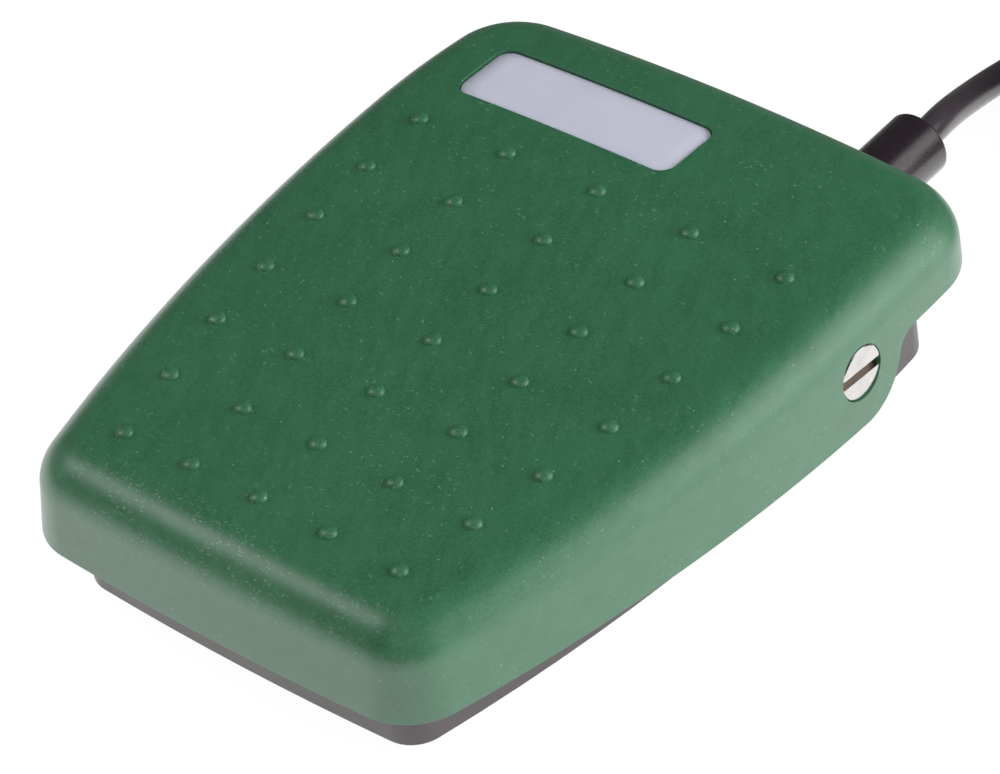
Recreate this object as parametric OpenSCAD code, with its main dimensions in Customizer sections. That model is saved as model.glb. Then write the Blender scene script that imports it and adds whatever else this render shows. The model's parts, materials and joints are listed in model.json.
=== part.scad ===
// Foot switch: a domed green pedal that rocks on a black base and works a snap-action switch inside it.
// Millimetres. +Z is up, +Y points to the cable, and the origin is on the floor under the pedal's middle.

/* [Pedal] */
// Length of the pedal over its lower edge
pedal_len = 148; // [130:1:170]
// Width of the pedal at its widest, beside the pivot
pedal_w = 116; // [106:1:130]
// Radius of the bowed side edges, seen from above
side_bow_r = 390; // [320:5:600]
// Radius of the bowed front edge, seen from above
front_bow_r = 660; // [400:10:1200]
// Radius of the bowed rear edge, seen from above
rear_bow_r = 1500; // [900:10:2500]
// Radius of the front corners, seen from above
front_corner_r = 12.5; // [11.5:0.5:15]
// Radius of the rear corners, seen from above
rear_corner_r = 16; // [12:0.5:20]
// Height of the top above the pivot axis
top_above_pivot = 14.5; // [13.5:0.1:17]
// Slope of the top, rising to the rear, in degrees
top_slope = 4; // [2:0.1:5]
// Radius of the crown across the top
crown_r = 770; // [600:10:1500]
// Radius of the fall of the top at the rear
tail_r = 220; // [180:5:400]
// Distance behind the pivot at which the fall starts
tail_start = 2.8; // [0:0.2:6]
// Radius of the edge all round the top
edge_r = 8; // [6:0.5:9]
// How far the skirt leans in between its lower edge and the rounded edge
skirt_lean = 1; // [0.4:0.1:1.4]
// Thickness of the skirt
skirt_wall = 2; // [1.6:0.1:2.4]
// Thickness of the top
top_wall = 2.5; // [2:0.1:3]
// Angle by which the pedal stands up at rest, in degrees
rest_tilt = 3; // [2:0.1:3.5]
// Travel of the pedal from rest to its stops, in degrees
press_travel = 2.6; // [1.5:0.1:2.8]

/* [Pedal rear] */
// Height of the rear skirt's lower edge above the pivot axis
rear_edge_z = 0.2; // [-1:0.1:1]
// Radius of the curve between a pivot lobe and the rear skirt
lobe_fillet_r = 5; // [3:0.5:7]

/* [Grips] */
// Columns of domed grips
grip_cols = 5; // [3:1:5]
// Rows of domed grips
grip_rows = 7; // [4:1:7]
// Distance between rows of grips
grip_pitch = 15; // [13:0.5:15]
// Distance from the outermost grip to the pedal's side edge
grip_margin = 16.7; // [14:0.1:19]
// Sphere radius of a grip
grip_r = 1.9; // [1.5:0.1:2.2]
// Height of a grip above the top
grip_h = 0.9; // [0.6:0.1:1.2]

/* [Label] */
// Width of the label plate, across the pedal
label_w = 49; // [40:1:54]
// Length of the label plate, along the pedal
label_l = 15; // [12:0.5:17]
// Corner radius of the label plate
label_corner_r = 3; // [1:0.2:4]
// Distance of the label's middle to the left of the pedal's middle
label_left = 17.3; // [12:0.1:19]
// Distance of the label's middle behind the pivot
label_back = 18; // [16:0.5:20]
// Depth of the label's recess
label_recess = 1.2; // [0.9:0.1:1.5]
// Thickness of the label plate
label_t = 0.6; // [0.3:0.1:0.8]

/* [Pivot] */
// Distance of the pivot from the pedal's rear edge
pivot_from_rear = 42.1; // [38:0.5:48]
// Height of the pivot axis above the floor
pivot_z = 19.3; // [18.5:0.1:21]
// Outer radius of the pedal's pivot lobes, which is also the pivot's height above the skirt's lower edge
lobe_r = 11.2; // [10:0.1:11.4]
// Diameter of a pivot screw's head, on which the pedal turns
head_d = 10.45; // [8:0.05:12]
// Radial clearance between a pivot screw's head and the pedal
head_clear = 0.07; // [0.03:0.01:0.1]
// Diameter of a pivot screw's shank
shank_d = 5; // [4:0.5:6]
// Length of a pivot screw's shank
shank_l = 9; // [7:0.5:11]
// Width of the screwdriver slot
slot_w = 1.5; // [1:0.1:2]
// Depth of the screwdriver slot
slot_deep = 1.2; // [0.8:0.1:1.6]
// Outer diameter of a pivot insert
insert_d = 8; // [7.5:0.1:9]

/* [Base] */
// Clearance between the base's sides and the skirt's inside
side_gap = 5.1; // [4:0.1:6]
// Clearance between the base's front and the skirt's inside
front_gap = 3.5; // [2:0.1:5]
// How far the base's rear wall stands in front of the pedal's rear edge
rear_inset = 12.5; // [11.5:0.5:16]
// Radius of the base's front corners
base_front_r = 6.7; // [5:0.1:9]
// Radius of the base's rear corners
base_rear_r = 6.7; // [5:0.1:9]
// Thickness of the base's walls
base_wall = 2.4; // [2:0.1:3]
// Thickness of the base's floor
base_floor = 2.5; // [2:0.1:3]
// Height of the base's side and front walls
wall_h = 17.7; // [15:0.1:18]
// Height of the base's rear wall
rear_wall_h = 23.7; // [22:0.1:24]
// How far the base's walls lean in
base_lean = 0.4; // [0.2:0.1:0.8]
// Height of the rubber feet below the base
foot_stand = 1; // [0.5:0.1:2]
// Diameter of the rubber feet
foot_d = 12; // [9:0.5:15]
// Depth of the pockets that the feet sit in
foot_pocket = 1.2; // [0.8:0.1:1.5]
// Height of the stiffening ribs on the base's floor
rib_h = 2.5; // [1:0.5:4]

/* [Return spring] */
// Distance of the spring behind the pedal's front edge
spring_in = 31.9; // [29:0.1:40]
// Mean diameter of the spring
spring_d = 11; // [9:0.5:14]
// Diameter of the spring's wire
spring_wire = 1.2; // [0.8:0.1:1.4]
// Turns of the spring
spring_turns = 6; // [4:1:7]

/* [Stops] */
// Distance of the front buffers behind the pedal's front edge
buffer_in = 17.9; // [17:0.1:22]
// Distance of each buffer from the middle
buffer_x = 30; // [20:1:34]
// Diameter of a rubber buffer
buffer_d = 8; // [6:0.5:10]
// Clearance between faces that meet at a stop
stop_clear = 0.3; // [0.3:0.05:0.6]
// Distance of each rear stop rib from the middle
rear_stop_x = 38; // [36:1:40]

/* [Snap switch] */
// Length of the switch's case
sw_len = 19.8; // [18:0.1:22]
// Height of the switch's case
sw_h = 10.2; // [9:0.1:11]
// Thickness of the switch's case with its cover
sw_t = 6.4; // [6:0.1:8]
// Distance of the switch's rear end in front of the pivot
sw_front = 14; // [10:0.5:18]
// Height of the switch's underside above the base's floor
sw_lift = 9.8; // [9.4:0.1:10]
// Distance from the lever's pin to the plunger
pin_to_plunger = 6; // [5:0.1:8]
// Distance from the lever's pin to the point where the pedal presses it
pin_to_press = 20; // [17:0.5:22]
// Diameter of the lever's pin
lever_pin_d = 1; // [0.8:0.1:1.2]
// Thickness of the lever
lever_t = 0.4; // [0.3:0.1:0.6]
// Width of the lever
lever_w = 3.4; // [2.6:0.1:4]
// Diameter of the plunger
plunger_d = 1.8; // [1.4:0.1:2.4]
// Distance between the switch's two fixing screws
sw_screw_pitch = 9.5; // [9:0.5:11]
// Diameter of the switch's fixing screws
sw_screw_d = 2; // [1.6:0.1:2.3]
// Width of a terminal
terminal_w = 3.2; // [2.4:0.1:3.6]
// Thickness of a terminal
terminal_t = 0.6; // [0.4:0.1:0.8]
// Diameter of the adjusting screw in the pedal
adjuster_d = 4; // [3:0.5:5]

/* [Cable] */
// Diameter of the cable's sheath
cable_d = 5.8; // [5.4:0.1:6]
// Diameter of an inner core
core_d = 1.8; // [1.4:0.1:2]
// Distance of the cable to the right of the middle
cable_x = 21.2; // [18:0.1:24]
// Height of the cable's axis above the floor where it leaves the base
cable_z = 9; // [8.5:0.1:9.5]
// Diameter of the boot where it leaves the base
boot_d = 13; // [11:0.1:13.4]
// Diameter of the boot at its free end
boot_tip_d = 12.9; // [10:0.1:13]
// Length of the boot outside the base
boot_len = 35.7; // [34:0.1:38]
// Diameter of the boot's neck in the base's wall
boot_neck_d = 8.6; // [8:0.1:9]
// Thickness of the boot's inner flange
boot_flange_t = 2; // [1.5:0.1:3]
// Distance of the cord clamp inside the base's rear wall
clamp_in = 9; // [8:0.5:12]
// Width of the cord clamp across the cable
clamp_w = 24; // [22:0.5:28]
// Thickness of the cord clamp's bar
clamp_t = 3; // [2:0.5:4]

/* [Coil] */
// Distance from turn to turn and from layer to layer of the coiled cable
coil_pitch = 6.3; // [6.3:0.05:7]
// Radius at which the cable enters the coil
coil_r = 42; // [40:1:50]
// Turns in each layer of the coil
layer_turns = 2.5; // [1.5:0.5:2.5]
// Turns in the top layer
last_turns = 1.6; // [0.5:0.1:2]
// Length of the bare cores at the cable's end
tail_len = 24; // [15:1:35]

/* [Hidden] */
$fn = 48;

// A hair's gap between pieces that are fixed to each other on a curved face
fit = 0.03;
// Steps of an edge rounding, and points along each stretch of the outline
edge_steps = 5;
corner_steps = 9;
side_steps = 14;
bow_steps = 4;

half_w = pedal_w / 2;
pedal_front = pivot_from_rear - pedal_len;
pivot_y = pedal_len / 2 - pivot_from_rear;
spring_front = -pedal_front - spring_in;
buffer_front = -pedal_front - buffer_in;
base_z = foot_stand;
floor_z = base_z + base_floor;
wall_top_z = base_z + wall_h;
rear_top_z = base_z + rear_wall_h;
base_rear_y = pedal_len / 2 - rear_inset;
base_side = half_w - skirt_wall - side_gap;
// Face of the ears that carry the pivot screws, just outside the base's walls
ear_face = base_side + 0.2;
press_slope = rest_tilt - press_travel;

// Height of the pedal's top at a place in its own frame, whose origin is on the pivot axis
function top_z(x, y) = top_above_pivot + y * tan(top_slope) - x * x / (2 * crown_r)
    - pow(max(0, y - tail_start), 2) / (2 * tail_r);
// Height of the ceiling under the top, in the same frame
function ceiling_z(y, x = 0) = top_z(x, y) - top_wall;
// Height above the floor of a point of the pedal, at a given slope of the pedal
function row_z(y, z, slope = rest_tilt) = pivot_z - y * sin(slope) + z * cos(slope);
// Place along the object of a point of the pedal
function row_y(y, z, slope = rest_tilt) = pivot_y + y * cos(slope) + z * sin(slope);
// Place in the pedal's frame of a point at rest
function local_y(y, z) = (y - pivot_y) * cos(rest_tilt) - (z - pivot_z) * sin(rest_tilt);

// One of the two points that are at given distances from two centres
function meet(c1, r1, c2, r2, sgn) =
    let (d = norm(c2 - c1), a = (r1 * r1 - r2 * r2 + d * d) / (2 * d))
    let (h = sqrt(r1 * r1 - a * a), u = (c2 - c1) / d)
    c1 + a * u + sgn * h * [-u.y, u.x];
function angle_of(v) = atan2(v.y, v.x);
function arc(c, r, a1, a2, n, last = 0) =
    [for (i = [0:n - 1 + last]) let (a = a1 + (a2 - a1) * i / n) c + r * [cos(a), sin(a)]];

// Half-width of a bowed outline at a place behind the pivot
function bowed_half(y, inset = 0) = half_w - side_bow_r + sqrt(pow(side_bow_r - inset, 2) - y * y);

// Right half of the outline, from the middle of the front to the middle of the rear: a bowed front, side and
// rear, joined by round corners, all drawn in by inset. front and rear are measured from the pivot.
function half_outline(inset, front, rear, r1, r2, side_in) =
    let (side_c = [half_w - side_bow_r, 0],
         side_r = side_bow_r - side_in,
         front_c = [0, front + front_bow_r],
         rear_c = [0, rear - rear_bow_r],
         k1 = meet(side_c, side_r - r1, front_c, front_bow_r - r1, -1),
         k2 = meet(side_c, side_r - r2, rear_c, rear_bow_r - r2, 1),
         a1 = angle_of(k1 - front_c),
         a2 = angle_of(k1 - side_c),
         a3 = angle_of(k2 - side_c),
         a4 = angle_of(k2 - rear_c))
    concat(arc(front_c, front_bow_r - inset, -90, a1, bow_steps),
           arc(k1, r1 - inset, a1, a2, corner_steps),
           arc(side_c, side_r - inset, a2, a3, side_steps),
           arc(k2, r2 - inset, a3, a4, corner_steps),
           arc(rear_c, rear_bow_r - inset, a4, 90, bow_steps, 1));
function whole_outline(half) =
    concat(half, [for (i = [len(half) - 2:-1:1]) [-half[i].x, half[i].y]]);

function pedal_outline(inset) = whole_outline(
    half_outline(inset, pedal_front, pivot_from_rear, front_corner_r, rear_corner_r, 0));
function base_outline(inset) = whole_outline(
    half_outline(inset, pedal_front + skirt_wall + front_gap, pivot_from_rear - rear_inset,
        base_front_r, base_rear_r, skirt_wall + side_gap));

// A closed skin over a chain of loops of points, from a first point to a last one
module skin(first, loops, last) {
    n = len(loops[0]);
    m = len(loops);
    end = 1 + m * n;
    points = concat([first], [for (l = loops) for (p = l) p], [last]);
    at = function (i, j) 1 + i * n + j % n;
    faces = concat(
        [for (j = [0:n - 1]) [0, at(0, j), at(0, j + 1)]],
        [for (i = [0:m - 2]) for (j = [0:n - 1]) [at(i, j), at(i + 1, j), at(i + 1, j + 1)]],
        [for (i = [0:m - 2]) for (j = [0:n - 1]) [at(i, j), at(i + 1, j + 1), at(i, j + 1)]],
        [for (j = [0:n - 1]) [at(m - 1, j), end, at(m - 1, j + 1)]]);
    polyhedron(points, faces);
}

// Points of the pedal's skin. drop is how far they lie below the top, and wall how far inside the skirt.
middle_y = (pedal_front + pivot_from_rear) / 2;
function skirt_foot(wall) = [for (p = pedal_outline(wall)) [p.x, p.y, -lobe_r]];
function edge_loop(wall, drop, phi) =
    let (r = edge_r - wall)
    [for (p = pedal_outline(skirt_lean + wall + r * (1 - cos(phi))))
        [p.x, p.y, top_z(p.x, p.y) - drop - r * (1 - sin(phi))]];
function inner_loop(wall, drop, k) =
    [for (p = pedal_outline(skirt_lean + edge_r))
        let (x = p.x * k, y = middle_y + (p.y - middle_y) * k) [x, y, top_z(x, y) - drop]];
top_steps = [0.8, 0.6, 0.4, 0.2];
function outer_loops() = concat([skirt_foot(0)],
    [for (i = [0:edge_steps]) edge_loop(0, 0, 90 * i / edge_steps)],
    [for (k = top_steps) inner_loop(0, 0, k)]);
function ceiling_loops() = concat(
    [for (i = [len(top_steps) - 1:-1:0]) inner_loop(skirt_wall, top_wall, top_steps[i])],
    [for (i = [edge_steps:-1:0]) edge_loop(skirt_wall, top_wall, 90 * i / edge_steps)],
    [skirt_foot(skirt_wall)]);

module pedal_place() {
    translate([0, pivot_y, pivot_z]) rotate([-rest_tilt, 0, 0]) children();
}

// The open shell, before its cuts
module pedal_shell() {
    skin([0, middle_y, top_z(0, middle_y) - top_wall],
        concat(ceiling_loops(), outer_loops()),
        [0, middle_y, top_z(0, middle_y)]);
}

// What is cut away below the rear skirt and behind the pivot lobes, in side view
module lobe_profile() {
    fy = sqrt(pow(lobe_r + lobe_fillet_r, 2) - pow(rear_edge_z - lobe_fillet_r, 2));
    fz = rear_edge_z - lobe_fillet_r;
    difference() {
        translate([0, -2 * lobe_r]) square([pivot_from_rear + 2 * lobe_r, 2 * lobe_r + rear_edge_z]);
        circle(lobe_r);
        difference() {
            polygon([[0, 0], [fy, fz], [fy, rear_edge_z], [0, rear_edge_z]]);
            translate([fy, fz]) circle(lobe_fillet_r);
        }
    }
}

// Grips
function grip_half(y) = bowed_half(y) - grip_margin;
module grips() {
    for (j = [0:grip_rows - 1])
        for (k = [0:grip_cols - 1]) {
            y = -j * grip_pitch;
            x = grip_half(y) * (2 * k / (grip_cols - 1) - 1);
            translate([x, y, top_z(x, y) + grip_h - grip_r]) sphere(grip_r, $fn = 24);
        }
}

// Label: a flat plate in a shallow recess that lies along the top
label_slope = atan(tan(top_slope) - max(0, label_back - tail_start) / tail_r);
label_roll = atan(label_left / crown_r);
module label_place() {
    translate([-label_left, label_back, top_z(label_left, label_back)])
        rotate([label_slope, 0, 0]) rotate([0, -label_roll, 0]) children();
}
module rounded_square(w, l, r) {
    square([w - 2 * r, l], center = true);
    square([w, l - 2 * r], center = true);
    for (sx = [-1, 1]) for (sy = [-1, 1]) translate([sx * (w / 2 - r), sy * (l / 2 - r)]) circle(r);
}
module rounded_plate(w, l, r, t) {
    linear_extrude(t) rounded_square(w, l, r);
}
label_gap = 0.2;

// Switch places. The lever's pin is near the rear end of the switch, and the pedal presses the lever's front.
sw_rear_y = pivot_y - sw_front;
sw_front_y = sw_rear_y - sw_len;
sw_z = floor_z + sw_lift;
sw_top = sw_z + sw_h;
pin_y = sw_rear_y - 2;
pin_z = sw_top + 1.2;
plunger_y = pin_y - pin_to_plunger;
press_y = pin_y - pin_to_press;
lever_ratio = (pivot_y - press_y) / pin_to_press;
lever_rise = press_travel * lever_ratio + 0.5;
press_z = pin_z + pin_to_press * sin(lever_rise) + lever_t / 2;
// The same point in the pedal's frame, and the tip of the adjusting screw above it
tip_gap = 0.2;
nut_up = 1.2;
tip_local_y = local_y(press_y, press_z);
tip_local_z = (press_y - pivot_y) * sin(rest_tilt) + (press_z + tip_gap - pivot_z) * cos(rest_tilt);
adjuster_boss_d = adjuster_d + 5;
nut_h = 1.6;
nut_d = 1.75 * adjuster_d;

// Spring places
spring_y = pivot_y - spring_front;
seat_pad = 1.5;
spring_low_z = floor_z + seat_pad;
spring_local_y = -spring_front;
spring_cup_z = ceiling_z(spring_local_y) - seat_pad;
seat_gap = 0.2 + (spring_d + spring_wire) / 2 * tan(rest_tilt);
spring_high_z = row_z(spring_local_y, spring_cup_z) - seat_gap;

// Stop places
buffer_y = pivot_y - buffer_front;
pad_drop = 2;
pad_z = ceiling_z(-buffer_front, buffer_x) - pad_drop;
buffer_top = row_z(-buffer_front, pad_z, press_slope) - stop_clear;
buffer_h = 4;
stop_rib_t = 2;
stop_rib_l = 8;
base_rear_local = base_rear_y - pivot_y - base_wall / 2;
stop_rib_z = (base_rear_local) * sin(rest_tilt) + (rear_top_z + stop_clear + 0.15 - pivot_z) * cos(rest_tilt);

module pedal_cover() color("#34674a") {
    ribs_x = [-20, 20];
    rib_t = 1.6;
    rib_drop = 2.2;
    boss_wall = 2;
    boss_in = ear_face + 0.5;
    rib_front = -buffer_front - 4;
    rib_rear = -2;
    difference() {
        union() {
            pedal_place() {
                difference() {
                    union() {
                        pedal_shell();
                        grips();
                    }
                    rotate([90, 0, 90]) translate([0, 0, -pedal_w])
                        linear_extrude(2 * pedal_w) lobe_profile();
                    label_place() translate([0, 0, -label_recess])
                        rounded_plate(label_w + 2 * label_gap, label_l + 2 * label_gap,
                            label_corner_r + label_gap, 5);
                }
                // Boss for the adjusting screw, and the spring's cup and guide pin
                translate([0, tip_local_y, tip_local_z + nut_up + nut_h])
                    cylinder(d = adjuster_boss_d,
                        h = ceiling_z(tip_local_y) - tip_local_z - nut_up - nut_h + 1);
                translate([0, spring_local_y, spring_cup_z]) {
                    cylinder(d = spring_d + spring_wire + 3, h = seat_pad + 1);
                    translate([0, 0, -3]) cylinder(d = spring_d - spring_wire - 2, h = 4);
                }
                // Pads over the buffers, and the ribs that meet the base's rear wall at rest
                for (s = [-1, 1]) {
                    translate([s * buffer_x, -buffer_front, pad_z])
                        cylinder(d = buffer_d + 2, h = pad_drop + 1);
                    translate([s * rear_stop_x - stop_rib_t / 2, base_rear_local - stop_rib_l / 2,
                        stop_rib_z])
                        cube([stop_rib_t, stop_rib_l,
                            ceiling_z(base_rear_local, rear_stop_x) - stop_rib_z + 0.8]);
                }
                // Stiffening ribs along the ceiling, from the buffers back to the pivot
                for (x = ribs_x) translate([x - rib_t / 2, 0, 0]) rotate([90, 0, 90]) linear_extrude(rib_t)
                    polygon([for (p = [[rib_front, -rib_drop], [rib_rear, -rib_drop],
                        [rib_rear, 0.4], [rib_front, 0.4]]) [p.x, ceiling_z(p.x, x) + p.y]]);
            }
            // Bosses inside the skirt, round the pivot bores
            translate([0, pivot_y, pivot_z]) rotate([0, 90, 0]) for (s = [-1, 1])
                translate([0, 0, s > 0 ? boss_in : -half_w + skirt_wall / 2 + skirt_lean])
                    cylinder(r = head_d / 2 + boss_wall, h = half_w - skirt_wall / 2 - skirt_lean - boss_in);
        }
        // Bores that turn on the pivot screws' heads
        translate([0, pivot_y, pivot_z]) rotate([0, 90, 0])
            for (s = [-1, 1]) translate([0, 0, s * half_w - 8]) cylinder(r = head_d / 2 + head_clear, h = 16);
        // Tapped hole for the adjusting screw
        pedal_place() translate([0, tip_local_y, tip_local_z - 1])
            cylinder(d = adjuster_d + 2 * fit, h = ceiling_z(tip_local_y) - tip_local_z + 1.2);
    }
}

module label_plate() color("#bbbdca") {
    pedal_place() label_place() translate([0, 0, -label_recess])
        rounded_plate(label_w, label_l, label_corner_r, label_t);
}

// Screw with a domed tip that rests just above the switch's lever, with its lock nut
module adjusting_screw() color("#b9bcbf") {
    screw_l = ceiling_z(tip_local_y) - tip_local_z;
    pedal_place() translate([0, tip_local_y, tip_local_z]) {
        intersection() {
            translate([0, 0, adjuster_d]) sphere(adjuster_d);
            cylinder(d = adjuster_d, h = adjuster_d / 2 + 0.1);
        }
        translate([0, 0, adjuster_d / 2]) cylinder(d = adjuster_d, h = screw_l - adjuster_d / 2);
    }
}
module adjusting_nut() color("#a9adb0") {
    pedal_place() translate([0, tip_local_y, tip_local_z + nut_up]) difference() {
        cylinder(d = nut_d, h = nut_h, $fn = 6);
        translate([0, 0, -1]) cylinder(d = adjuster_d + 2 * fit, h = nut_h + 2);
    }
}

// Pivot screws: a flat slotted head that the pedal turns on, and a shank in the base's ear
head_out = half_w - skirt_lean;
head_in = ear_face + 0.1;
head_bevel = 0.3;
slot_angle = -6;
module pivot_screw(s) {
    translate([0, pivot_y, pivot_z]) rotate([0, s * 90, 0]) difference() {
        union() {
            translate([0, 0, head_in]) cylinder(d = head_d, h = head_out - head_in - head_bevel);
            translate([0, 0, head_out - head_bevel])
                cylinder(d1 = head_d, d2 = head_d - 2 * head_bevel, h = head_bevel);
            translate([0, 0, head_in - shank_l]) cylinder(d = shank_d, h = shank_l + 0.5);
        }
        rotate([0, 0, s * slot_angle])
            translate([-slot_w / 2, -head_d, head_out - slot_deep]) cube([slot_w, 2 * head_d, slot_deep + 1]);
    }
}
module pivot_screw_left() color("#c9c6c2") pivot_screw(-1);
module pivot_screw_right() color("#c9c6c2") pivot_screw(1);

insert_l = 7.5;
module pivot_insert(s) {
    translate([0, pivot_y, pivot_z]) rotate([0, s * 90, 0]) translate([0, 0, ear_face - insert_l - 0.5])
        difference() {
            union() {
                cylinder(d = insert_d - 1, h = insert_l);
                for (z = [0.6, 3, 5.4]) translate([0, 0, z]) cylinder(d = insert_d, h = 1.5);
            }
            translate([0, 0, -1]) cylinder(d = shank_d + 2 * fit, h = insert_l + 2);
        }
}
module pivot_insert_left() color("#b08d4c") pivot_insert(-1);
module pivot_insert_right() color("#b08d4c") pivot_insert(1);

// Base
chamfer = 1;
ear_r = 6.4;
ear_l = 10;
foot_in = 12;
foot_bevel = 0.5;
rib_t = 1.6;
foot_front_y = pedal_front + pivot_y + skirt_wall + front_gap + foot_in;
foot_rear_y = base_rear_y - foot_in;
function foot_x(y) = bowed_half(y - pivot_y) - skirt_wall - side_gap - foot_in;
// Outer floor ribs, and how far pieces of the moulding are sunk into each other
rib_x = foot_x(foot_front_y) + foot_d / 2;
sunk = 0.5;
clamp_y = base_rear_y - base_wall - clamp_in;
clamp_screw_x = clamp_w / 2 - 3.5;
clamp_post_d = 6.4;
clamp_post_top = cable_z + cable_d / 2 - 0.6;

// Shell of the base: floor, walls with a bevelled lower edge, and a higher rear wall
module base_shell() {
    low = [for (p = base_outline(chamfer)) [p.x, p.y + pivot_y, base_z]];
    wide = [for (p = base_outline(0)) [p.x, p.y + pivot_y, base_z + chamfer]];
    top = [for (p = base_outline(base_lean)) [p.x, p.y + pivot_y, rear_top_z]];
    top_in = [for (p = base_outline(base_lean + base_wall)) [p.x, p.y + pivot_y, rear_top_z]];
    floor_in = [for (p = base_outline(base_wall + chamfer / 2)) [p.x, p.y + pivot_y, floor_z]];
    difference() {
        skin([0, pivot_y, base_z], [low, wide, top, top_in, floor_in], [0, pivot_y, floor_z]);
        translate([-pedal_w, -pedal_len, wall_top_z])
            cube([2 * pedal_w, pedal_len + base_rear_y - base_rear_r - base_wall, rear_wall_h]);
    }
}

// Ear that carries a pivot insert, on a web down to the floor
module ear(s) {
    translate([0, pivot_y, pivot_z]) rotate([0, s * 90, 0])
        translate([0, 0, ear_face - ear_l]) {
            cylinder(r = ear_r, h = ear_l - 1);
            translate([0, 0, ear_l - 1]) cylinder(r1 = ear_r, r2 = ear_r - 1, h = 1);
        }
    mirror([s < 0 ? 1 : 0, 0, 0])
        translate([ear_face - ear_l, pivot_y - ear_r, floor_z - 0.5])
            cube([ear_l - 1.2, 2 * ear_r, pivot_z - floor_z + 0.5]);
}

// Upright that the switch is screwed to, and two posts for the cord clamp
sw_side = sw_t / 2;
upright_t = 4;
module switch_upright() {
    translate([sw_side, sw_front_y, floor_z - 0.5]) cube([upright_t, sw_len, sw_top - floor_z - 0.5]);
    for (y = [sw_front_y, sw_rear_y - 2])
        translate([sw_side, y, floor_z - 0.5]) cube([upright_t + 5, 2, sw_top - floor_z - 4]);
}
module base_moulding() color("#4b474b") {
    difference() {
        union() {
            base_shell();
            for (s = [-1, 1]) ear(s);
            switch_upright();
            // Spring seat
            translate([0, spring_y, floor_z - sunk]) {
                cylinder(d = spring_d + spring_wire + 3, h = seat_pad + sunk);
                cylinder(d = spring_d - spring_wire - 1.2, h = seat_pad + 4.5);
            }
            // Buffer posts
            for (s = [-1, 1]) translate([s * buffer_x, buffer_y, floor_z - sunk])
                cylinder(d = buffer_d + 2, h = buffer_top - buffer_h - floor_z + sunk);
            // Saddle and posts of the cord clamp
            translate([cable_x - cable_d / 2 - 1, clamp_y - 3, floor_z - sunk])
                cube([cable_d + 2, 6, cable_z - floor_z + sunk]);
            for (s = [-1, 1]) translate([cable_x + s * clamp_screw_x, clamp_y, floor_z - sunk])
                cylinder(d = clamp_post_d, h = clamp_post_top - floor_z + sunk);
            // Floor ribs
            for (k = [0.5, 1]) {
                translate([-k * rib_x - rib_t / 2, foot_front_y, floor_z - sunk])
                    cube([rib_t, foot_rear_y - foot_front_y, rib_h + sunk]);
                translate([k * rib_x - rib_t / 2, foot_front_y, floor_z - sunk])
                    cube([rib_t, sheath_end_y - 5 - foot_front_y, rib_h + sunk]);
            }
            for (y = [sw_front_y - 22, sheath_end_y - 9])
                translate([-foot_x(y) - foot_d / 2, y - rib_t / 2, floor_z - sunk])
                    cube([2 * foot_x(y) + foot_d, rib_t, rib_h + sunk]);
            // Rings round the feet's pockets
            for (sx = [-1, 1]) for (y = [foot_front_y, foot_rear_y])
                translate([sx * foot_x(y), y, floor_z - sunk]) cylinder(d = foot_d + 4, h = 1);
        }
        // Bores for the inserts
        translate([0, pivot_y, pivot_z]) rotate([0, 90, 0]) for (s = [-1, 1])
            translate([0, 0, s * (ear_face - ear_l / 2) - ear_l / 2 - 1])
                cylinder(d = insert_d + 2 * fit, h = ear_l + 2);
        // Hole for the boot's neck, with room for the boot's flange inside
        translate([cable_x, base_rear_y - 4, cable_z]) rotate([-90, 0, 0])
            cylinder(d = boot_neck_d + 2 * fit, h = 10);
        // Groove in the clamp's saddle
        translate([cable_x, clamp_y - 10, cable_z]) rotate([-90, 0, 0])
            cylinder(d = cable_d + 2 * fit, h = 17);
        // Screw holes in the clamp's posts
        for (s = [-1, 1]) translate([cable_x + s * clamp_screw_x, clamp_y, floor_z])
            cylinder(d = sw_screw_d + 0.5 + 2 * fit, h = clamp_post_top);
        // Screw holes in the switch's upright
        for (s = [-1, 1]) translate([sw_side - 1, sw_mid_y + s * sw_screw_pitch / 2, sw_screw_z])
            rotate([0, 90, 0]) cylinder(d = sw_screw_d + 2 * fit, h = upright_t + 2);
        // Pockets for the feet
        for (sx = [-1, 1]) for (y = [foot_front_y, foot_rear_y])
            translate([sx * foot_x(y), y, base_z - 1]) cylinder(d = foot_d + 2 * fit, h = foot_pocket + 1);
    }
}

module foot(sx, y) {
    translate([sx * foot_x(y), y, 0]) {
        cylinder(d1 = foot_d - 2 * foot_bevel, d2 = foot_d, h = foot_bevel);
        translate([0, 0, foot_bevel]) cylinder(d = foot_d, h = base_z + foot_pocket - foot_bevel);
    }
}
module foot_front_left() color("#2b2b2d") foot(-1, foot_front_y);
module foot_front_right() color("#2b2b2d") foot(1, foot_front_y);
module foot_rear_left() color("#2b2b2d") foot(-1, foot_rear_y);
module foot_rear_right() color("#2b2b2d") foot(1, foot_rear_y);

// A tube swept along a list of points, square to its path, with flat ends
function unit(v) = v / norm(v);
function tangent(p, i) = unit(p[min(i + 1, len(p) - 1)] - p[max(i - 1, 0)]);
module tube(path, d, sides) {
    rings = [for (i = [0:len(path) - 1])
        let (t = tangent(path, i), across = unit(cross(t, [0, 0, 1])), up = cross(across, t))
        [for (k = [0:sides - 1]) let (a = -360 * (k + 0.5) / sides)
            path[i] + d / 2 * (cos(a) * across + sin(a) * up)]];
    skin(path[0], rings, path[len(path) - 1]);
}

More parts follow.
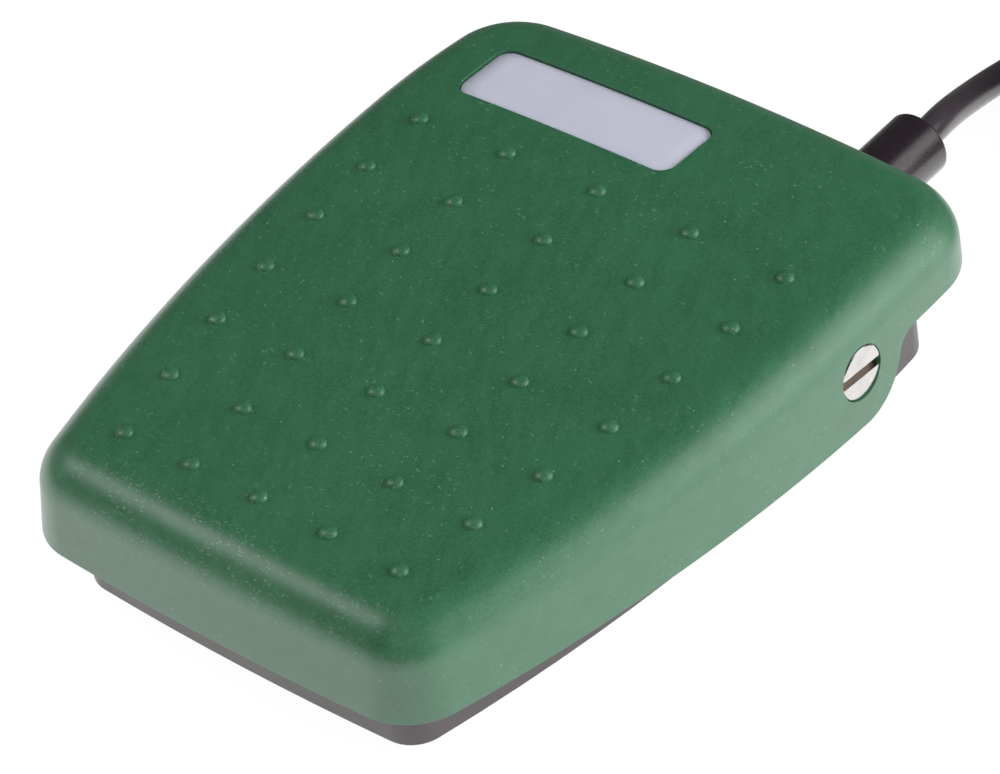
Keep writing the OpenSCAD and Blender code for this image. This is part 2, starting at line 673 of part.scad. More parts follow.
// Return spring, whose first and last turns lie close
module spring_tube() {
    steps = 14;
    turns = spring_turns;
    low = spring_low_z + spring_wire / 2;
    rise = spring_high_z - spring_low_z - spring_wire;
    n = turns * steps;
    // Share of the height reached: slow in the first and last turn
    share = function (t) t < 1 ? t * spring_wire / rise * 1.1
        : t > turns - 1 ? 1 - (turns - t) * spring_wire / rise * 1.1
        : (spring_wire / rise * 1.1) + (t - 1) / (turns - 2) * (1 - 2 * spring_wire / rise * 1.1);
    pts = [for (i = [0:n]) let (a = 360 * i / steps)
        [spring_d / 2 * cos(a), spring_y + spring_d / 2 * sin(a), low + rise * share(i / steps)]];
    tube(pts, spring_wire, 6);
}
module return_spring() color("#a4a7aa") {
    intersection() {
        spring_tube();
        translate([-spring_d, spring_y - spring_d, spring_low_z])
            cube([2 * spring_d, 2 * spring_d, spring_high_z - spring_low_z]);
    }
}

module stop_buffer(s) {
    translate([s * buffer_x, buffer_y, buffer_top - buffer_h]) {
        cylinder(d = buffer_d, h = buffer_h - 1);
        translate([0, 0, buffer_h - 1]) cylinder(d1 = buffer_d, d2 = buffer_d - 2, h = 1);
    }
}
module stop_buffer_left() color("#2b2b2d") stop_buffer(-1);
module stop_buffer_right() color("#2b2b2d") stop_buffer(1);

// Snap switch: a case and a thinner cover, side by side, with a pocket for the blades
sw_mid_y = sw_front_y + sw_len / 2;
sw_screw_z = sw_z + 3;
sw_cover_t = 1.6;
plunger_len = 4;
plunger_top = pin_z + pin_to_plunger * tan(lever_rise) - lever_t / 2 / cos(lever_rise) - 0.2;
cheek_t = 0.8;
cheek_in = lever_w / 2 + 0.3;
module switch_body(x0, t) {
    difference() {
        translate([x0, sw_front_y, sw_z]) cube([t, sw_len, sw_h]);
        for (s = [-1, 1]) translate([x0 - 1, sw_mid_y + s * sw_screw_pitch / 2, sw_screw_z])
            rotate([0, 90, 0]) cylinder(d = sw_screw_d + 2 * fit, h = t + 2);
    }
}
// Cheek that holds one end of the lever's pin
module switch_cheek(x) {
    translate([x, pin_y - 1.5, sw_top - 0.5]) cube([cheek_t, 3, pin_z - sw_top + 1.4]);
}
module pin_hole() {
    translate([-lever_w, pin_y, pin_z]) rotate([0, 90, 0])
        cylinder(d = lever_pin_d + 2 * fit, h = 2 * lever_w);
}
module switch_case() color("#26282b") {
    difference() {
        union() {
            switch_body(-sw_side + sw_cover_t, sw_t - sw_cover_t);
            switch_cheek(cheek_in);
        }
        // Guide of the plunger, with the room that its spring needs below it
        translate([0, plunger_y, sw_top - 5.5]) cylinder(d = plunger_d + 0.12, h = 7);
        pin_hole();
    }
}
module switch_cover() color("#c9c4b4") {
    difference() {
        union() {
            switch_body(-sw_side, sw_cover_t - 0.02);
            switch_cheek(-cheek_in - cheek_t);
        }
        pin_hole();
    }
}
module switch_plunger() color("#b4392f") {
    translate([0, plunger_y, plunger_top - plunger_len]) {
        cylinder(d = plunger_d, h = plunger_len - 0.4);
        translate([0, 0, plunger_len - 0.4]) cylinder(d1 = plunger_d, d2 = plunger_d - 0.7, h = 0.4);
    }
}
// Lever: a strip with two rolled lugs round its pin
module switch_lever() color("#c2c4c6") {
    translate([0, pin_y, pin_z]) rotate([-lever_rise, 0, 0]) difference() {
        union() {
            translate([-lever_w / 2, -pin_to_press - 2, -lever_t / 2])
                cube([lever_w, pin_to_press + 2, lever_t]);
            rotate([0, 90, 0]) translate([0, 0, -lever_w / 2]) cylinder(d = lever_pin_d + 0.8, h = lever_w);
        }
        rotate([0, 90, 0]) translate([0, 0, -lever_w]) cylinder(d = lever_pin_d + 0.1, h = 2 * lever_w);
    }
}
module lever_pin() color("#8f9396") {
    translate([-cheek_in - cheek_t, pin_y, pin_z]) rotate([0, 90, 0])
        cylinder(d = lever_pin_d, h = 2 * (cheek_in + cheek_t));
}

// Terminals under the case, each with the wire that is soldered to it
terminal_step = 7;
terminal_len = 3.6;
function terminal_y(i) = sw_mid_y + (i - 1) * terminal_step;
module terminal(i) {
    translate([-terminal_t / 2, terminal_y(i) - terminal_w / 2, sw_z - terminal_len]) difference() {
        cube([terminal_t, terminal_w, terminal_len]);
        translate([-1, terminal_w / 2, 1.2]) rotate([0, 90, 0]) cylinder(d = 1.1, h = terminal_t + 2);
    }
}
module terminal_common() color("#c8b273") terminal(0);
module terminal_open() color("#c8b273") terminal(1);
module terminal_closed() color("#c8b273") terminal(2);

module switch_screws() color("#b9bcbf") {
    head_h = 1.4;
    for (s = [-1, 1])
        translate([-sw_side, sw_mid_y + s * sw_screw_pitch / 2, sw_screw_z]) rotate([0, 90, 0]) {
            cylinder(d = sw_screw_d, h = sw_t + upright_t - 0.4);
            translate([0, 0, -head_h]) difference() {
                cylinder(d = 1.9 * sw_screw_d, h = head_h);
                translate([-0.25, -sw_screw_d, -1]) cube([0.5, 2 * sw_screw_d, 1.6]);
            }
        }
}

// Inner wires, each on one smooth curve from the sheath's end to its terminal
sheath_end_y = clamp_y - 7;
core_place = [for (i = [0:2]) 1.4 * [cos(90 + 120 * i), sin(90 + 120 * i)]];
function bezier(a, b, c, d, t) =
    pow(1 - t, 3) * a + 3 * t * pow(1 - t, 2) * b + 3 * t * t * (1 - t) * c + pow(t, 3) * d;
wire_step = 2.4;
module wire(i, c) {
    from = [cable_x + core_place[c].x, sheath_end_y, cable_z + core_place[c].y];
    to = [-terminal_t / 2 - core_d / 2 - fit, terminal_y(i), sw_z - terminal_len + 1.2];
    low = floor_z + rib_h + core_d / 2 + 0.4;
    // Out of the sheath, past the rear of the upright, and in to the terminal from its free side. The wire of
    // the terminal farthest from the cable runs outside the others.
    lane = wire_step * (2 - i);
    reach = 7 + lane;
    turn = [-4 - lane, sw_rear_y + 7 + lane, low];
    first = [for (k = [0:7]) bezier(from - [0, 1, 0], from - [0, 9, 0], turn + [12, 0, 0], turn, k / 7)];
    second = [for (k = [1:9])
        bezier(turn, turn - [reach, 0, 0], to - [reach, 0, 0], to - [0.8, 0, 0], k / 9)];
    tube(concat([from], first, second, [to]), core_d, 6);
}
module wire_common() color("#6b4530") wire(0, 1);
module wire_open() color("#2f5aa0") wire(1, 0);
module wire_closed() color("#1f1f22") wire(2, 2);

// Cord clamp and its screws
clamp_bottom = clamp_post_top + 0.1;
module cable_clamp() color("#39393c") {
    difference() {
        translate([cable_x - clamp_w / 2, clamp_y - 3, clamp_bottom]) cube([clamp_w, 6, clamp_t]);
        translate([cable_x, clamp_y - 5, cable_z]) rotate([-90, 0, 0])
            cylinder(d = cable_d + 2 * fit, h = 10);
        for (s = [-1, 1]) translate([cable_x + s * clamp_screw_x, clamp_y, clamp_bottom - 1])
            cylinder(d = sw_screw_d + 0.8, h = clamp_t + 2);
    }
}
module clamp_screws() color("#b9bcbf") {
    for (s = [-1, 1]) translate([cable_x + s * clamp_screw_x, clamp_y, 0]) difference() {
        union() {
            translate([0, 0, floor_z + 1])
                cylinder(d = sw_screw_d + 0.5, h = clamp_bottom + clamp_t - floor_z - 1);
            translate([0, 0, clamp_bottom + clamp_t]) cylinder(d = 2 * sw_screw_d, h = 1.5);
        }
        translate([-sw_screw_d, -0.3, clamp_bottom + clamp_t + 0.7]) cube([2 * sw_screw_d, 0.6, 1]);
    }
}

// Boot: a sleeve, a neck through the wall and a flange inside it
boot_tip_y = base_rear_y + boot_len;
module cable_boot() color("#2c2a2d") {
    tip_round = 0.8;
    neck_from = base_wall + base_lean + 0.5;
    flange_r = boot_neck_d / 2 + 1.1;
    translate([cable_x, base_rear_y, cable_z]) rotate([-90, 0, 0]) rotate_extrude() polygon(concat(
        [[cable_d / 2 + fit, -neck_from - boot_flange_t],
         [flange_r, -neck_from - boot_flange_t],
         [flange_r, -neck_from],
         [boot_neck_d / 2, -neck_from],
         [boot_neck_d / 2, 0.2],
         [boot_d / 2, 0.2]],
        [for (a = [0:15:90])
            [boot_tip_d / 2 - tip_round + tip_round * cos(a), boot_len - tip_round + tip_round * sin(a)]],
        [[cable_d / 2 + fit, boot_len]]));
}

// Cable: the stretch that the boot and the clamp hold, the free run along the floor, and the coil
module cable_entry() color("#242225") {
    translate([cable_x, sheath_end_y, cable_z]) rotate([-90, 0, 0])
        cylinder(d = cable_d, h = boot_tip_y - sheath_end_y);
}
coil_z = 3.8;
run_points = [
    [21.2, 97.2, 9], [21.2, 98.2, 9], [20.9, 101.4, 8.85], [20.3, 105.1, 8.25], [19.6, 109, 7.25],
    [19, 112.8, 6.15], [18.5, 116.8, 5], [18.2, 120.5, 4.05], [18.2, 124, 3.35], [18.6, 127.5, 2.97],
    [19.4, 131.3, 2.9], [20.5, 135.3, 2.97], [21.6, 139.2, 3.2], [22.5, 143, 3.5], [22.95, 146.5, 3.74],
    [23, 148.2, 3.8], [23, 150, 3.8]];
module cable_run() color("#242225") tube(run_points, cable_d, 10);

// The coil is one spiral: in along the floor, out over that, in and out again, climbing where it turns back
coil_c = [65, 156];
lead = 6;
full = 360 * layer_turns;
last_angle = 3 * full + 360 * last_turns;
function fold(t) = let (u = t - 2 * full * floor(t / (2 * full))) u < full ? u : 2 * full - u;
function coil_radius(t) = coil_r - coil_pitch * fold(t) / 360;
// Height in layers: it climbs by one in the half turn about each reversal
function climb(t) = min(1, max(0, t / 180 + 0.5));
function layer_of(t) = climb(t - full) + climb(t - 2 * full) + climb(t - 3 * full);
function coil_point(t) =
    [coil_c.x - coil_radius(t) * cos(t), coil_c.y + coil_radius(t) * sin(t),
        coil_z + coil_pitch * layer_of(t)];
coil_steps = 24;
coil_end = coil_point(last_angle);
coil_out = unit(coil_end - coil_point(last_angle - 2));
coil_points = concat(
    [[coil_c.x - coil_r, coil_c.y - lead, coil_z]],
    [for (i = [0:floor(last_angle * coil_steps / 360)]) coil_point(i * 360 / coil_steps)],
    [coil_end + 0.001 * coil_out, coil_end + lead * coil_out]);
// Least gap between turns, measured from every point to those more than two thirds of a turn on
coil_gap = min([for (i = [0:len(coil_points) - 17]) for (j = [i + 16:len(coil_points) - 1])
    norm(coil_points[j] - coil_points[i])]) - cable_d;
function length_of(p, i = 1) = i < len(p) ? norm(p[i] - p[i - 1]) + length_of(p, i + 1) : 0;
echo(coil_gap = coil_gap, coil_length = length_of(coil_points), run_length = length_of(run_points));
module cable_coil() color("#242225") tube(coil_points, cable_d, 6);

// Tie round the coil's turns, at the side away from the pedal
tie_t = 0.8;
tie_w = 6;
module coil_tie() color("#3a3a3d") {
    inner = coil_r - coil_pitch * layer_turns - cable_d / 2 - 1;
    outer = coil_r - coil_pitch / 2 + cable_d / 2 + 0.6;
    low = coil_z - cable_d / 2 - 0.1 - tie_t;
    high = coil_z + 3 * coil_pitch + cable_d / 2 + 0.4 + tie_t;
    round_r = 4;
    translate([coil_c.x + (inner + outer) / 2, coil_c.y + tie_w / 2, (low + high) / 2]) rotate([90, 0, 0])
        linear_extrude(tie_w) difference() {
            rounded_square(outer - inner + 2 * tie_t, high - low, round_r);
            rounded_square(outer - inner, high - low - 2 * tie_t, round_r - tie_t);
        }
}

// Bare end of the cable: three cores, each stripped to its copper
module core(i) {
    from = coil_end + lead * coil_out;
    up = [0, 0, 1];
    across = cross(coil_out, up);
    start = from + core_place[i].x * across + core_place[i].y * up;
    aim = unit(coil_out + 0.05 * core_place[i].x * across);
    yaw = atan2(aim.y, aim.x);
    translate(start) rotate([0, 90, yaw]) {
        cylinder(d = core_d, h = tail_len - 7);
        translate([0, 0, tail_len - 7]) cylinder(d = 0.6 * core_d, h = 7);
    }
}
module core_brown() color("#6b4530") core(0);
module core_blue() color("#2f5aa0") core(1);
module core_black() color("#1f1f22") core(2);

pedal_cover();
label_plate();
adjusting_screw();
adjusting_nut();
pivot_screw_left();
pivot_screw_right();
pivot_insert_left();
pivot_insert_right();
base_moulding();
foot_front_left();
foot_front_right();
foot_rear_left();
foot_rear_right();
return_spring();
stop_buffer_left();
stop_buffer_right();
switch_case();
switch_cover();
switch_plunger();
switch_lever();
lever_pin();
terminal_common();
terminal_open();
terminal_closed();
switch_screws();
wire_common();
wire_open();
wire_closed();
cable_clamp();
clamp_screws();
cable_boot();
cable_entry();
cable_run();
cable_coil();
coil_tie();
core_brown();
core_blue();
core_black();
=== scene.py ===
"""Foot switch: the looks of a green rocking pedal on a black base, with a bare plate and a coiled cable."""
import json
import math

import bmesh
import bpy
from mathutils import Matrix, Vector

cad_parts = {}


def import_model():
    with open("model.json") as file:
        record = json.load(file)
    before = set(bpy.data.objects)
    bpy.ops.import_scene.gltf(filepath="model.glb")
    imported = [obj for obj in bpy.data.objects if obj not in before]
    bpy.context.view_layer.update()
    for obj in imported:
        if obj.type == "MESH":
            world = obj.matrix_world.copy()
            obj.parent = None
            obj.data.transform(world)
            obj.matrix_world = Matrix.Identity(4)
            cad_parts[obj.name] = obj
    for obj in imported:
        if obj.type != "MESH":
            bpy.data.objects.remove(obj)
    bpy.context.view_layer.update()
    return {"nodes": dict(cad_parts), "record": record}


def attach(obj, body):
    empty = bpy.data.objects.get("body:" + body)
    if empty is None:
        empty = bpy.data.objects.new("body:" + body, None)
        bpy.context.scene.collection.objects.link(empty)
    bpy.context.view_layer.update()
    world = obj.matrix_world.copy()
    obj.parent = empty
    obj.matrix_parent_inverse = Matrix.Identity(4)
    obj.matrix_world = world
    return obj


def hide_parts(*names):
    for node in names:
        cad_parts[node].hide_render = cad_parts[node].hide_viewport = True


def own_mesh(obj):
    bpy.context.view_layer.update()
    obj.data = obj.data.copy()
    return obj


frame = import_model()
MM = 0.001

# Sizes of the pedal, in millimetres, as in the solid model
HALF_W = 58.0
PEDAL_FRONT = -105.9
PEDAL_REAR = 42.1
SIDE_BOW = 390.0
FRONT_BOW = 660.0
REAR_BOW = 1500.0
FRONT_CORNER = 12.5
REAR_CORNER = 16.0
TOP_UP = 14.5
TOP_SLOPE = math.tan(math.radians(4))
CROWN = 770.0
TAIL = 220.0
TAIL_START = 2.8
EDGE_R = 8.0
LEAN = 1.0
SKIRT = 2.0
TOP_WALL = 2.5
LOBE_R = 11.2
LOBE_FILLET = 5.0
REAR_EDGE_Z = 0.2
PIVOT = (0.0, 31.9, 19.3)
REST_TILT = 3.0
HEAD_R = 5.225
HOLE_R = 5.3
GRIP_ROWS = 7
GRIP_COLS = 5
GRIP_PITCH = 15.0
GRIP_MARGIN = 16.7
GRIP_FOOT_R = 1.62
GRIP_H = 0.98
GRIP_BACK = 0.4
PLATE_W = 49.0
PLATE_L = 15.0
PLATE_CORNER = 3.0
PLATE_MID = (-17.3, 18.0)
PLATE_GAP = 0.25
RECESS = 1.2
PLATE_T = 0.6
ADJUSTER_Y = -36.34
ADJUSTER_Z = 5.71
ADJUSTER_BOSS_R = 4.5
ADJUSTER_HOLE_R = 2.03
SPRING_Y = -74.0
SPRING_CUP_Z = 5.325
SPRING_CUP_R = 7.6
SPRING_PIN_R = 3.9
BUFFER_X = 30
BUFFER_Y = -88.0
PAD_Z = 3.262
PAD_R = 5.0
RIB_X = 20
RIB_FRONT = -92.0
RIB_REAR = -2.0
STOP_X = 38
STOP_Y = 28.4
STOP_Z = 7.328
SCREW_SEAT_X = 51.6
SKIRT_INNER_X = 56
CABLE_D = 5.8
CABLE_X = 21.2
CABLE_Z = 9.0
BOOT_FROM = 61.5
BOOT_LEN = 35.7
BOOT_R = 6.5
BOOT_TIP_R = 6.45


# Camera


def camera():
    """The camera, at the place and angle from which the photograph was taken."""
    data = bpy.data.cameras.new("camera")
    data.lens = 172.296
    data.sensor_width = 36
    data.clip_end = 10
    obj = bpy.data.objects.new("camera", data)
    right = Vector((0.764137, 0.634120, -0.118267))
    down = Vector((0.358617, -0.570018, -0.739238))
    back = right.cross(-down)
    turn = Matrix((right, -down, back)).transposed().to_4x4()
    obj.matrix_world = Matrix.Translation(Vector((448.85, -435.39, 566.37)) * MM) @ turn
    bpy.context.scene.collection.objects.link(obj)
    bpy.context.scene.camera = obj


camera()


# Shared mesh helpers


def new_piece(name, verts, faces, body, smooth_angle=35):
    """A mesh piece from points in millimetres, smooth up to an angle, that rides on a body."""
    mesh = bpy.data.meshes.new(name)
    mesh.from_pydata([[c * MM for c in v] for v in verts], [], faces)
    mesh.validate()
    obj = bpy.data.objects.new(name, mesh)
    bpy.context.scene.collection.objects.link(obj)
    outward(obj)
    smooth(obj, smooth_angle)
    if body:
        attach(obj, body)
    return obj


def outward(obj):
    """Turns all faces of a mesh outward."""
    bm = bmesh.new()
    bm.from_mesh(obj.data)
    bmesh.ops.recalc_face_normals(bm, faces=bm.faces)
    bm.to_mesh(obj.data)
    bm.free()


def smooth(obj, angle=35):
    """Smooth shading, with edges sharper than the angle kept crisp."""
    mesh = obj.data
    mesh.shade_smooth()
    bm = bmesh.new()
    bm.from_mesh(mesh)
    for edge in bm.edges:
        bend = edge.calc_face_angle(0) if len(edge.link_faces) == 2 else 0
        edge.smooth = bend < math.radians(angle)
    bm.to_mesh(mesh)
    bm.free()


def skin(loops, first=None, last=None, closed=False):
    """Points and faces of a skin over a chain of loops, with a point at either end or the ends joined."""
    n = len(loops[0])
    verts = [p for loop in loops for p in loop]
    faces = []
    rows = len(loops)
    for i in range(rows if closed else rows - 1):
        for j in range(n):
            a, b = i * n + j, i * n + (j + 1) % n
            c, d = (i + 1) % rows * n + (j + 1) % n, (i + 1) % rows * n + j
            faces.append((a, b, c, d))
    for point, row in ((first, 0), (last, rows - 1)):
        if point is None:
            continue
        verts.append(point)
        tip = len(verts) - 1
        faces += [(row * n + j, row * n + (j + 1) % n, tip) for j in range(n)]
    return verts, faces


def lathe(name, profile, place, body, sides=64, smooth_angle=35):
    """A turned piece. Its profile is (radius, height) in millimetres, from the axis round to the axis."""
    loops = [circle(place, r, z, sides) for r, z in profile[1:-1]]
    ends = [place @ Vector((0, 0, profile[k][1])) for k in (0, -1)]
    return new_piece(name, *skin(loops, *ends), body, smooth_angle)


def ring_lathe(name, profile, place, body, sides=64, smooth_angle=35):
    """A turned piece with a bore. Its profile is a closed line of (radius, height)."""
    loops = [circle(place, r, z, sides) for r, z in profile]
    return new_piece(name, *skin(loops, closed=True), body, smooth_angle)


def turns(n):
    """Angles of n points round a circle."""
    return [2 * math.pi * k / n for k in range(n)]


def circle(place, r, z, sides):
    """Points of a circle about a placed axis."""
    return [place @ Vector((r * math.cos(a), r * math.sin(a), z)) for a in turns(sides)]


def fillet(cx, cy, r, a1, a2, steps):
    """Points on an arc, with angles in degrees."""
    out = []
    for k in range(steps + 1):
        a = math.radians(a1 + (a2 - a1) * k / steps)
        out.append((cx + r * math.cos(a), cy + r * math.sin(a)))
    return out


def tube(path, radius, sides=16):
    """Points and faces of a tube along a path, square to it, with flat ends."""
    path = [Vector(p) for p in path]
    loops = []
    for i, p in enumerate(path):
        ahead = (path[min(i + 1, len(path) - 1)] - path[max(i - 1, 0)]).normalized()
        across = ahead.cross(Vector((0, 0, 1))).normalized()
        up = across.cross(ahead)
        loops.append([p + radius * (math.cos(a) * across + math.sin(a) * up) for a in turns(sides)])
    return skin(loops, path[0], path[-1])


def cut(obj, cutters, how="DIFFERENCE"):
    """Applies booleans with the cutters and removes them."""
    for cutter in cutters:
        mod = obj.modifiers.new("cut", "BOOLEAN")
        mod.operation = how
        mod.solver = "EXACT"
        mod.object = cutter
        graph = bpy.context.evaluated_depsgraph_get()
        mesh = bpy.data.meshes.new_from_object(obj.evaluated_get(graph))
        obj.modifiers.clear()
        obj.data = mesh
    for cutter in cutters:
        bpy.data.objects.remove(cutter)


def even_shade(obj):
    """Shading that weighs large faces more, so that cuts leave the surface round them smooth."""
    mod = obj.modifiers.new("even", "WEIGHTED_NORMAL")
    mod.keep_sharp = True
    mod.weight = 80


# Materials


def math_node(tree, how, first, second):
    """A sum or other step on two values, each a number or a node's output."""
    node = tree.nodes.new("ShaderNodeMath")
    node.operation = how
    for socket, value in zip(node.inputs, (first, second)):
        if isinstance(value, (int, float)):
            socket.default_value = value
        else:
            tree.links.new(value, socket)
    return node.outputs[0]


def range_node(tree, source, low, high, start=0.0, end=1.0):
    """Maps low..high of a value to start..end, held at both ends."""
    node = tree.nodes.new("ShaderNodeMapRange")
    for name, value in (("From Min", low), ("From Max", high), ("To Min", start), ("To Max", end)):
        node.inputs[name].default_value = value
    tree.links.new(source, node.inputs["Value"])
    return node.outputs[0]


class Shader:
    """A material with a few short calls for its nodes. Lengths are in millimetres."""

    def __init__(self, name, color, roughness, metallic=0.0, specular=0.5):
        self.mat = bpy.data.materials.new(name)
        self.mat.use_nodes = True
        self.nodes = self.mat.node_tree.nodes
        self.links = self.mat.node_tree.links
        self.bsdf = self.nodes["Principled BSDF"]
        self.set("Base Color", (*color, 1))
        self.set("Roughness", roughness)
        self.set("Metallic", metallic)
        self.set("Specular IOR Level", specular)
        coords = self.nodes.new("ShaderNodeTexCoord")
        scale = self.nodes.new("ShaderNodeVectorMath")
        scale.operation = "SCALE"
        scale.inputs["Scale"].default_value = 1 / MM
        self.links.new(coords.outputs["Object"], scale.inputs[0])
        self.mm = scale.outputs[0]
        self.height = None

    def set(self, name, value):
        """A number or colour that is the same all over."""
        self.bsdf.inputs[name].default_value = value

    def join(self, source, target):
        self.links.new(source, target)

    def stretched(self, lengths, turn=0):
        """Coordinates in which marks are drawn out by these lengths, along axes turned about the vertical."""
        node = self.nodes.new("ShaderNodeMapping")
        node.vector_type = "TEXTURE"
        node.inputs["Rotation"].default_value[2] = math.radians(turn)
        node.inputs["Scale"].default_value = lengths
        self.join(self.mm, node.inputs["Vector"])
        return node.outputs[0]

    def noise(self, size, detail=2, rough=0.5, coords=None):
        """Noise with features of about that size."""
        node = self.nodes.new("ShaderNodeTexNoise")
        node.inputs["Scale"].default_value = 1 / size
        node.inputs["Detail"].default_value = detail
        node.inputs["Roughness"].default_value = rough
        self.join(coords or self.mm, node.inputs["Vector"])
        return node.outputs["Fac"]

    def cells(self, size, coords=None):
        """Distance from the nearest of scattered points, as a share of their spacing, and its own number."""
        node = self.nodes.new("ShaderNodeTexVoronoi")
        node.inputs["Scale"].default_value = 1 / size
        self.join(coords or self.mm, node.inputs["Vector"])
        own = self.nodes.new("ShaderNodeSeparateColor")
        self.join(node.outputs["Color"], own.inputs["Color"])
        return node.outputs["Distance"], own.outputs[0]

    def ramp(self, source, low, high, start=0.0, end=1.0):
        return range_node(self.mat.node_tree, source, low, high, start, end)

    def math(self, how, a, b):
        return math_node(self.mat.node_tree, how, a, b)

    def mix(self, share, a, b):
        """Mixes two colours, each a colour or a node's output."""
        node = self.nodes.new("ShaderNodeMix")
        node.data_type = "RGBA"
        for name, kind, value in (("Factor", "VALUE", share), ("A", "RGBA", a), ("B", "RGBA", b)):
            socket = next(s for s in node.inputs if s.name == name and s.type == kind)
            if isinstance(value, tuple):
                socket.default_value = (*value, 1)
            elif isinstance(value, (int, float)):
                socket.default_value = value
            else:
                self.join(value, socket)
        return next(s for s in node.outputs if s.type == "RGBA")

    def color(self, source):
        self.join(source, self.bsdf.inputs["Base Color"])

    def roughness(self, source):
        self.join(source, self.bsdf.inputs["Roughness"])

    def bump(self, source, depth):
        """Adds relief of a depth in millimetres."""
        node = self.nodes.new("ShaderNodeBump")
        node.inputs["Strength"].default_value = 1
        node.inputs["Distance"].default_value = depth * MM
        self.join(source, node.inputs["Height"])
        if self.height:
            self.join(self.height, node.inputs["Normal"])
        self.height = node.outputs[0]
        self.join(self.height, self.bsdf.inputs["Normal"])

    def specks(self, size, reach, share, coords=None, gate=None):
        """Small marks: one in a share of the cells, no wider than reach."""
        distance, own = self.cells(size, coords)
        mark = self.ramp(distance, reach * 0.6, reach, 1, 0)
        chosen = self.ramp(own, 1 - share, 1 - share + 0.02)
        mark = self.math("MULTIPLY", mark, chosen)
        return self.math("MULTIPLY", mark, gate) if gate else mark

    def worn_front(self):
        """A share for the rubbed patches on the pedal's front edge, most of them to the left."""
        apart = self.nodes.new("ShaderNodeSeparateXYZ")
        self.join(self.mm, apart.inputs[0])
        near = self.ramp(apart.outputs["Y"], -61, -66)
        high = self.ramp(apart.outputs["Z"], 22, 25.5)
        left = self.math("MULTIPLY", self.ramp(apart.outputs["X"], 42, 12, 0.2, 1),
                         self.ramp(apart.outputs["X"], -46, -26, 0.25, 1))
        patch = self.ramp(self.noise(9, 2, 0.5), 0.36, 0.52, 0.1, 1)
        return self.math("MULTIPLY", self.math("MULTIPLY", near, high), self.math("MULTIPLY", left, patch))


def pedal_material():
    """Green moulded plastic: fine texture, light dust and short pale scratches, more of them at the front."""
    green, deep, pale = (0.021, 0.115, 0.050), (0.018, 0.100, 0.043), (0.26, 0.42, 0.33)
    s = Shader("pedal_plastic", green, 0.42, specular=1.0)
    s.set("Coat Weight", 1.0)
    s.set("Coat Roughness", 0.36)
    cloud = s.ramp(s.noise(22, 3, 0.55), 0.3, 0.7)
    grain = s.ramp(s.noise(0.5, 2, 0.6), 0.35, 0.65)
    streaks = s.ramp(s.noise(2.4, 3, 0.6, coords=s.stretched((1, 3.5, 1), 28)), 0.36, 0.64)
    tone = s.mix(cloud, deep, green)
    tone = s.mix(s.math("MULTIPLY", streaks, 0.30), tone, (0.042, 0.17, 0.085))
    tone = s.mix(s.math("MULTIPLY", grain, 0.30), tone, (0.052, 0.19, 0.10))
    patchy = s.ramp(s.noise(17, 2, 0.5), 0.36, 0.58, 0.15, 1)
    broken = s.ramp(s.noise(0.45, 2, 0.6), 0.36, 0.66, 0.05, 0.75)
    marks = s.specks(1.5, 0.13, 0.12)
    for turn, size in ((17, 0.9), (71, 1.1), (128, 0.8)):
        lines = s.specks(size, 0.19, 0.34, coords=s.stretched((1, 3.2, 1), turn), gate=patchy)
        marks = s.math("MAXIMUM", marks, s.math("MULTIPLY", lines, broken))
    rubbed = s.worn_front()
    for turn, size in ((40, 0.5), (100, 0.65), (150, 0.45)):
        lines = s.specks(size, 0.24, 0.42, coords=s.stretched((1, 2.2, 1), turn), gate=rubbed)
        marks = s.math("MAXIMUM", marks, s.math("MULTIPLY", lines, 0.9))
    s.color(s.mix(s.math("MULTIPLY", marks, 0.6), tone, pale))
    s.roughness(s.ramp(s.math("ADD", grain, s.math("MULTIPLY", cloud, 0.6)), 0, 1.6, 0.38, 0.50))
    s.bump(s.noise(0.34, 2, 0.6), 0.010)
    s.bump(marks, 0.008)
    return s.mat


def base_material():
    """Black moulded plastic, semi-matte."""
    color = (0.036, 0.026, 0.030)
    s = Shader("base_plastic", color, 0.45, specular=1.0)
    s.set("Coat Weight", 0.6)
    s.set("Coat Roughness", 0.4)
    grain = s.ramp(s.noise(0.6, 3, 0.6), 0.35, 0.65)
    cloud = s.ramp(s.noise(14, 2, 0.5), 0.35, 0.65)
    s.color(s.mix(s.math("MULTIPLY", grain, 0.3), color, tuple(c * 1.5 for c in color)))
    s.roughness(s.ramp(s.math("ADD", grain, cloud), 0, 2, 0.40, 0.52))
    s.bump(s.noise(0.4, 2, 0.6), 0.010)
    return s.mat


def metal_material(name, color, roughness):
    """Metal with fine marks."""
    s = Shader(name, color, roughness, metallic=1.0)
    fine = s.noise(0.3, 3, 0.6)
    s.roughness(s.ramp(fine, 0.3, 0.7, roughness * 0.8, roughness * 1.25))
    s.color(s.mix(s.ramp(s.noise(3, 3, 0.6), 0.35, 0.65), color, tuple(c * 0.86 for c in color)))
    s.bump(fine, 0.004)
    return s.mat


def plate_material():
    """Bare painted plate: pale grey with a faint satin grain."""
    color = (0.53, 0.54, 0.64)
    s = Shader("plate_metal", color, 0.42)
    lines = s.noise(0.5, 3, 0.6, coords=s.stretched((8, 1, 1)))
    s.color(s.mix(s.ramp(s.noise(9, 3, 0.6), 0.3, 0.7), color, (0.50, 0.51, 0.61)))
    s.roughness(s.ramp(lines, 0.3, 0.7, 0.36, 0.48))
    s.bump(lines, 0.003)
    return s.mat


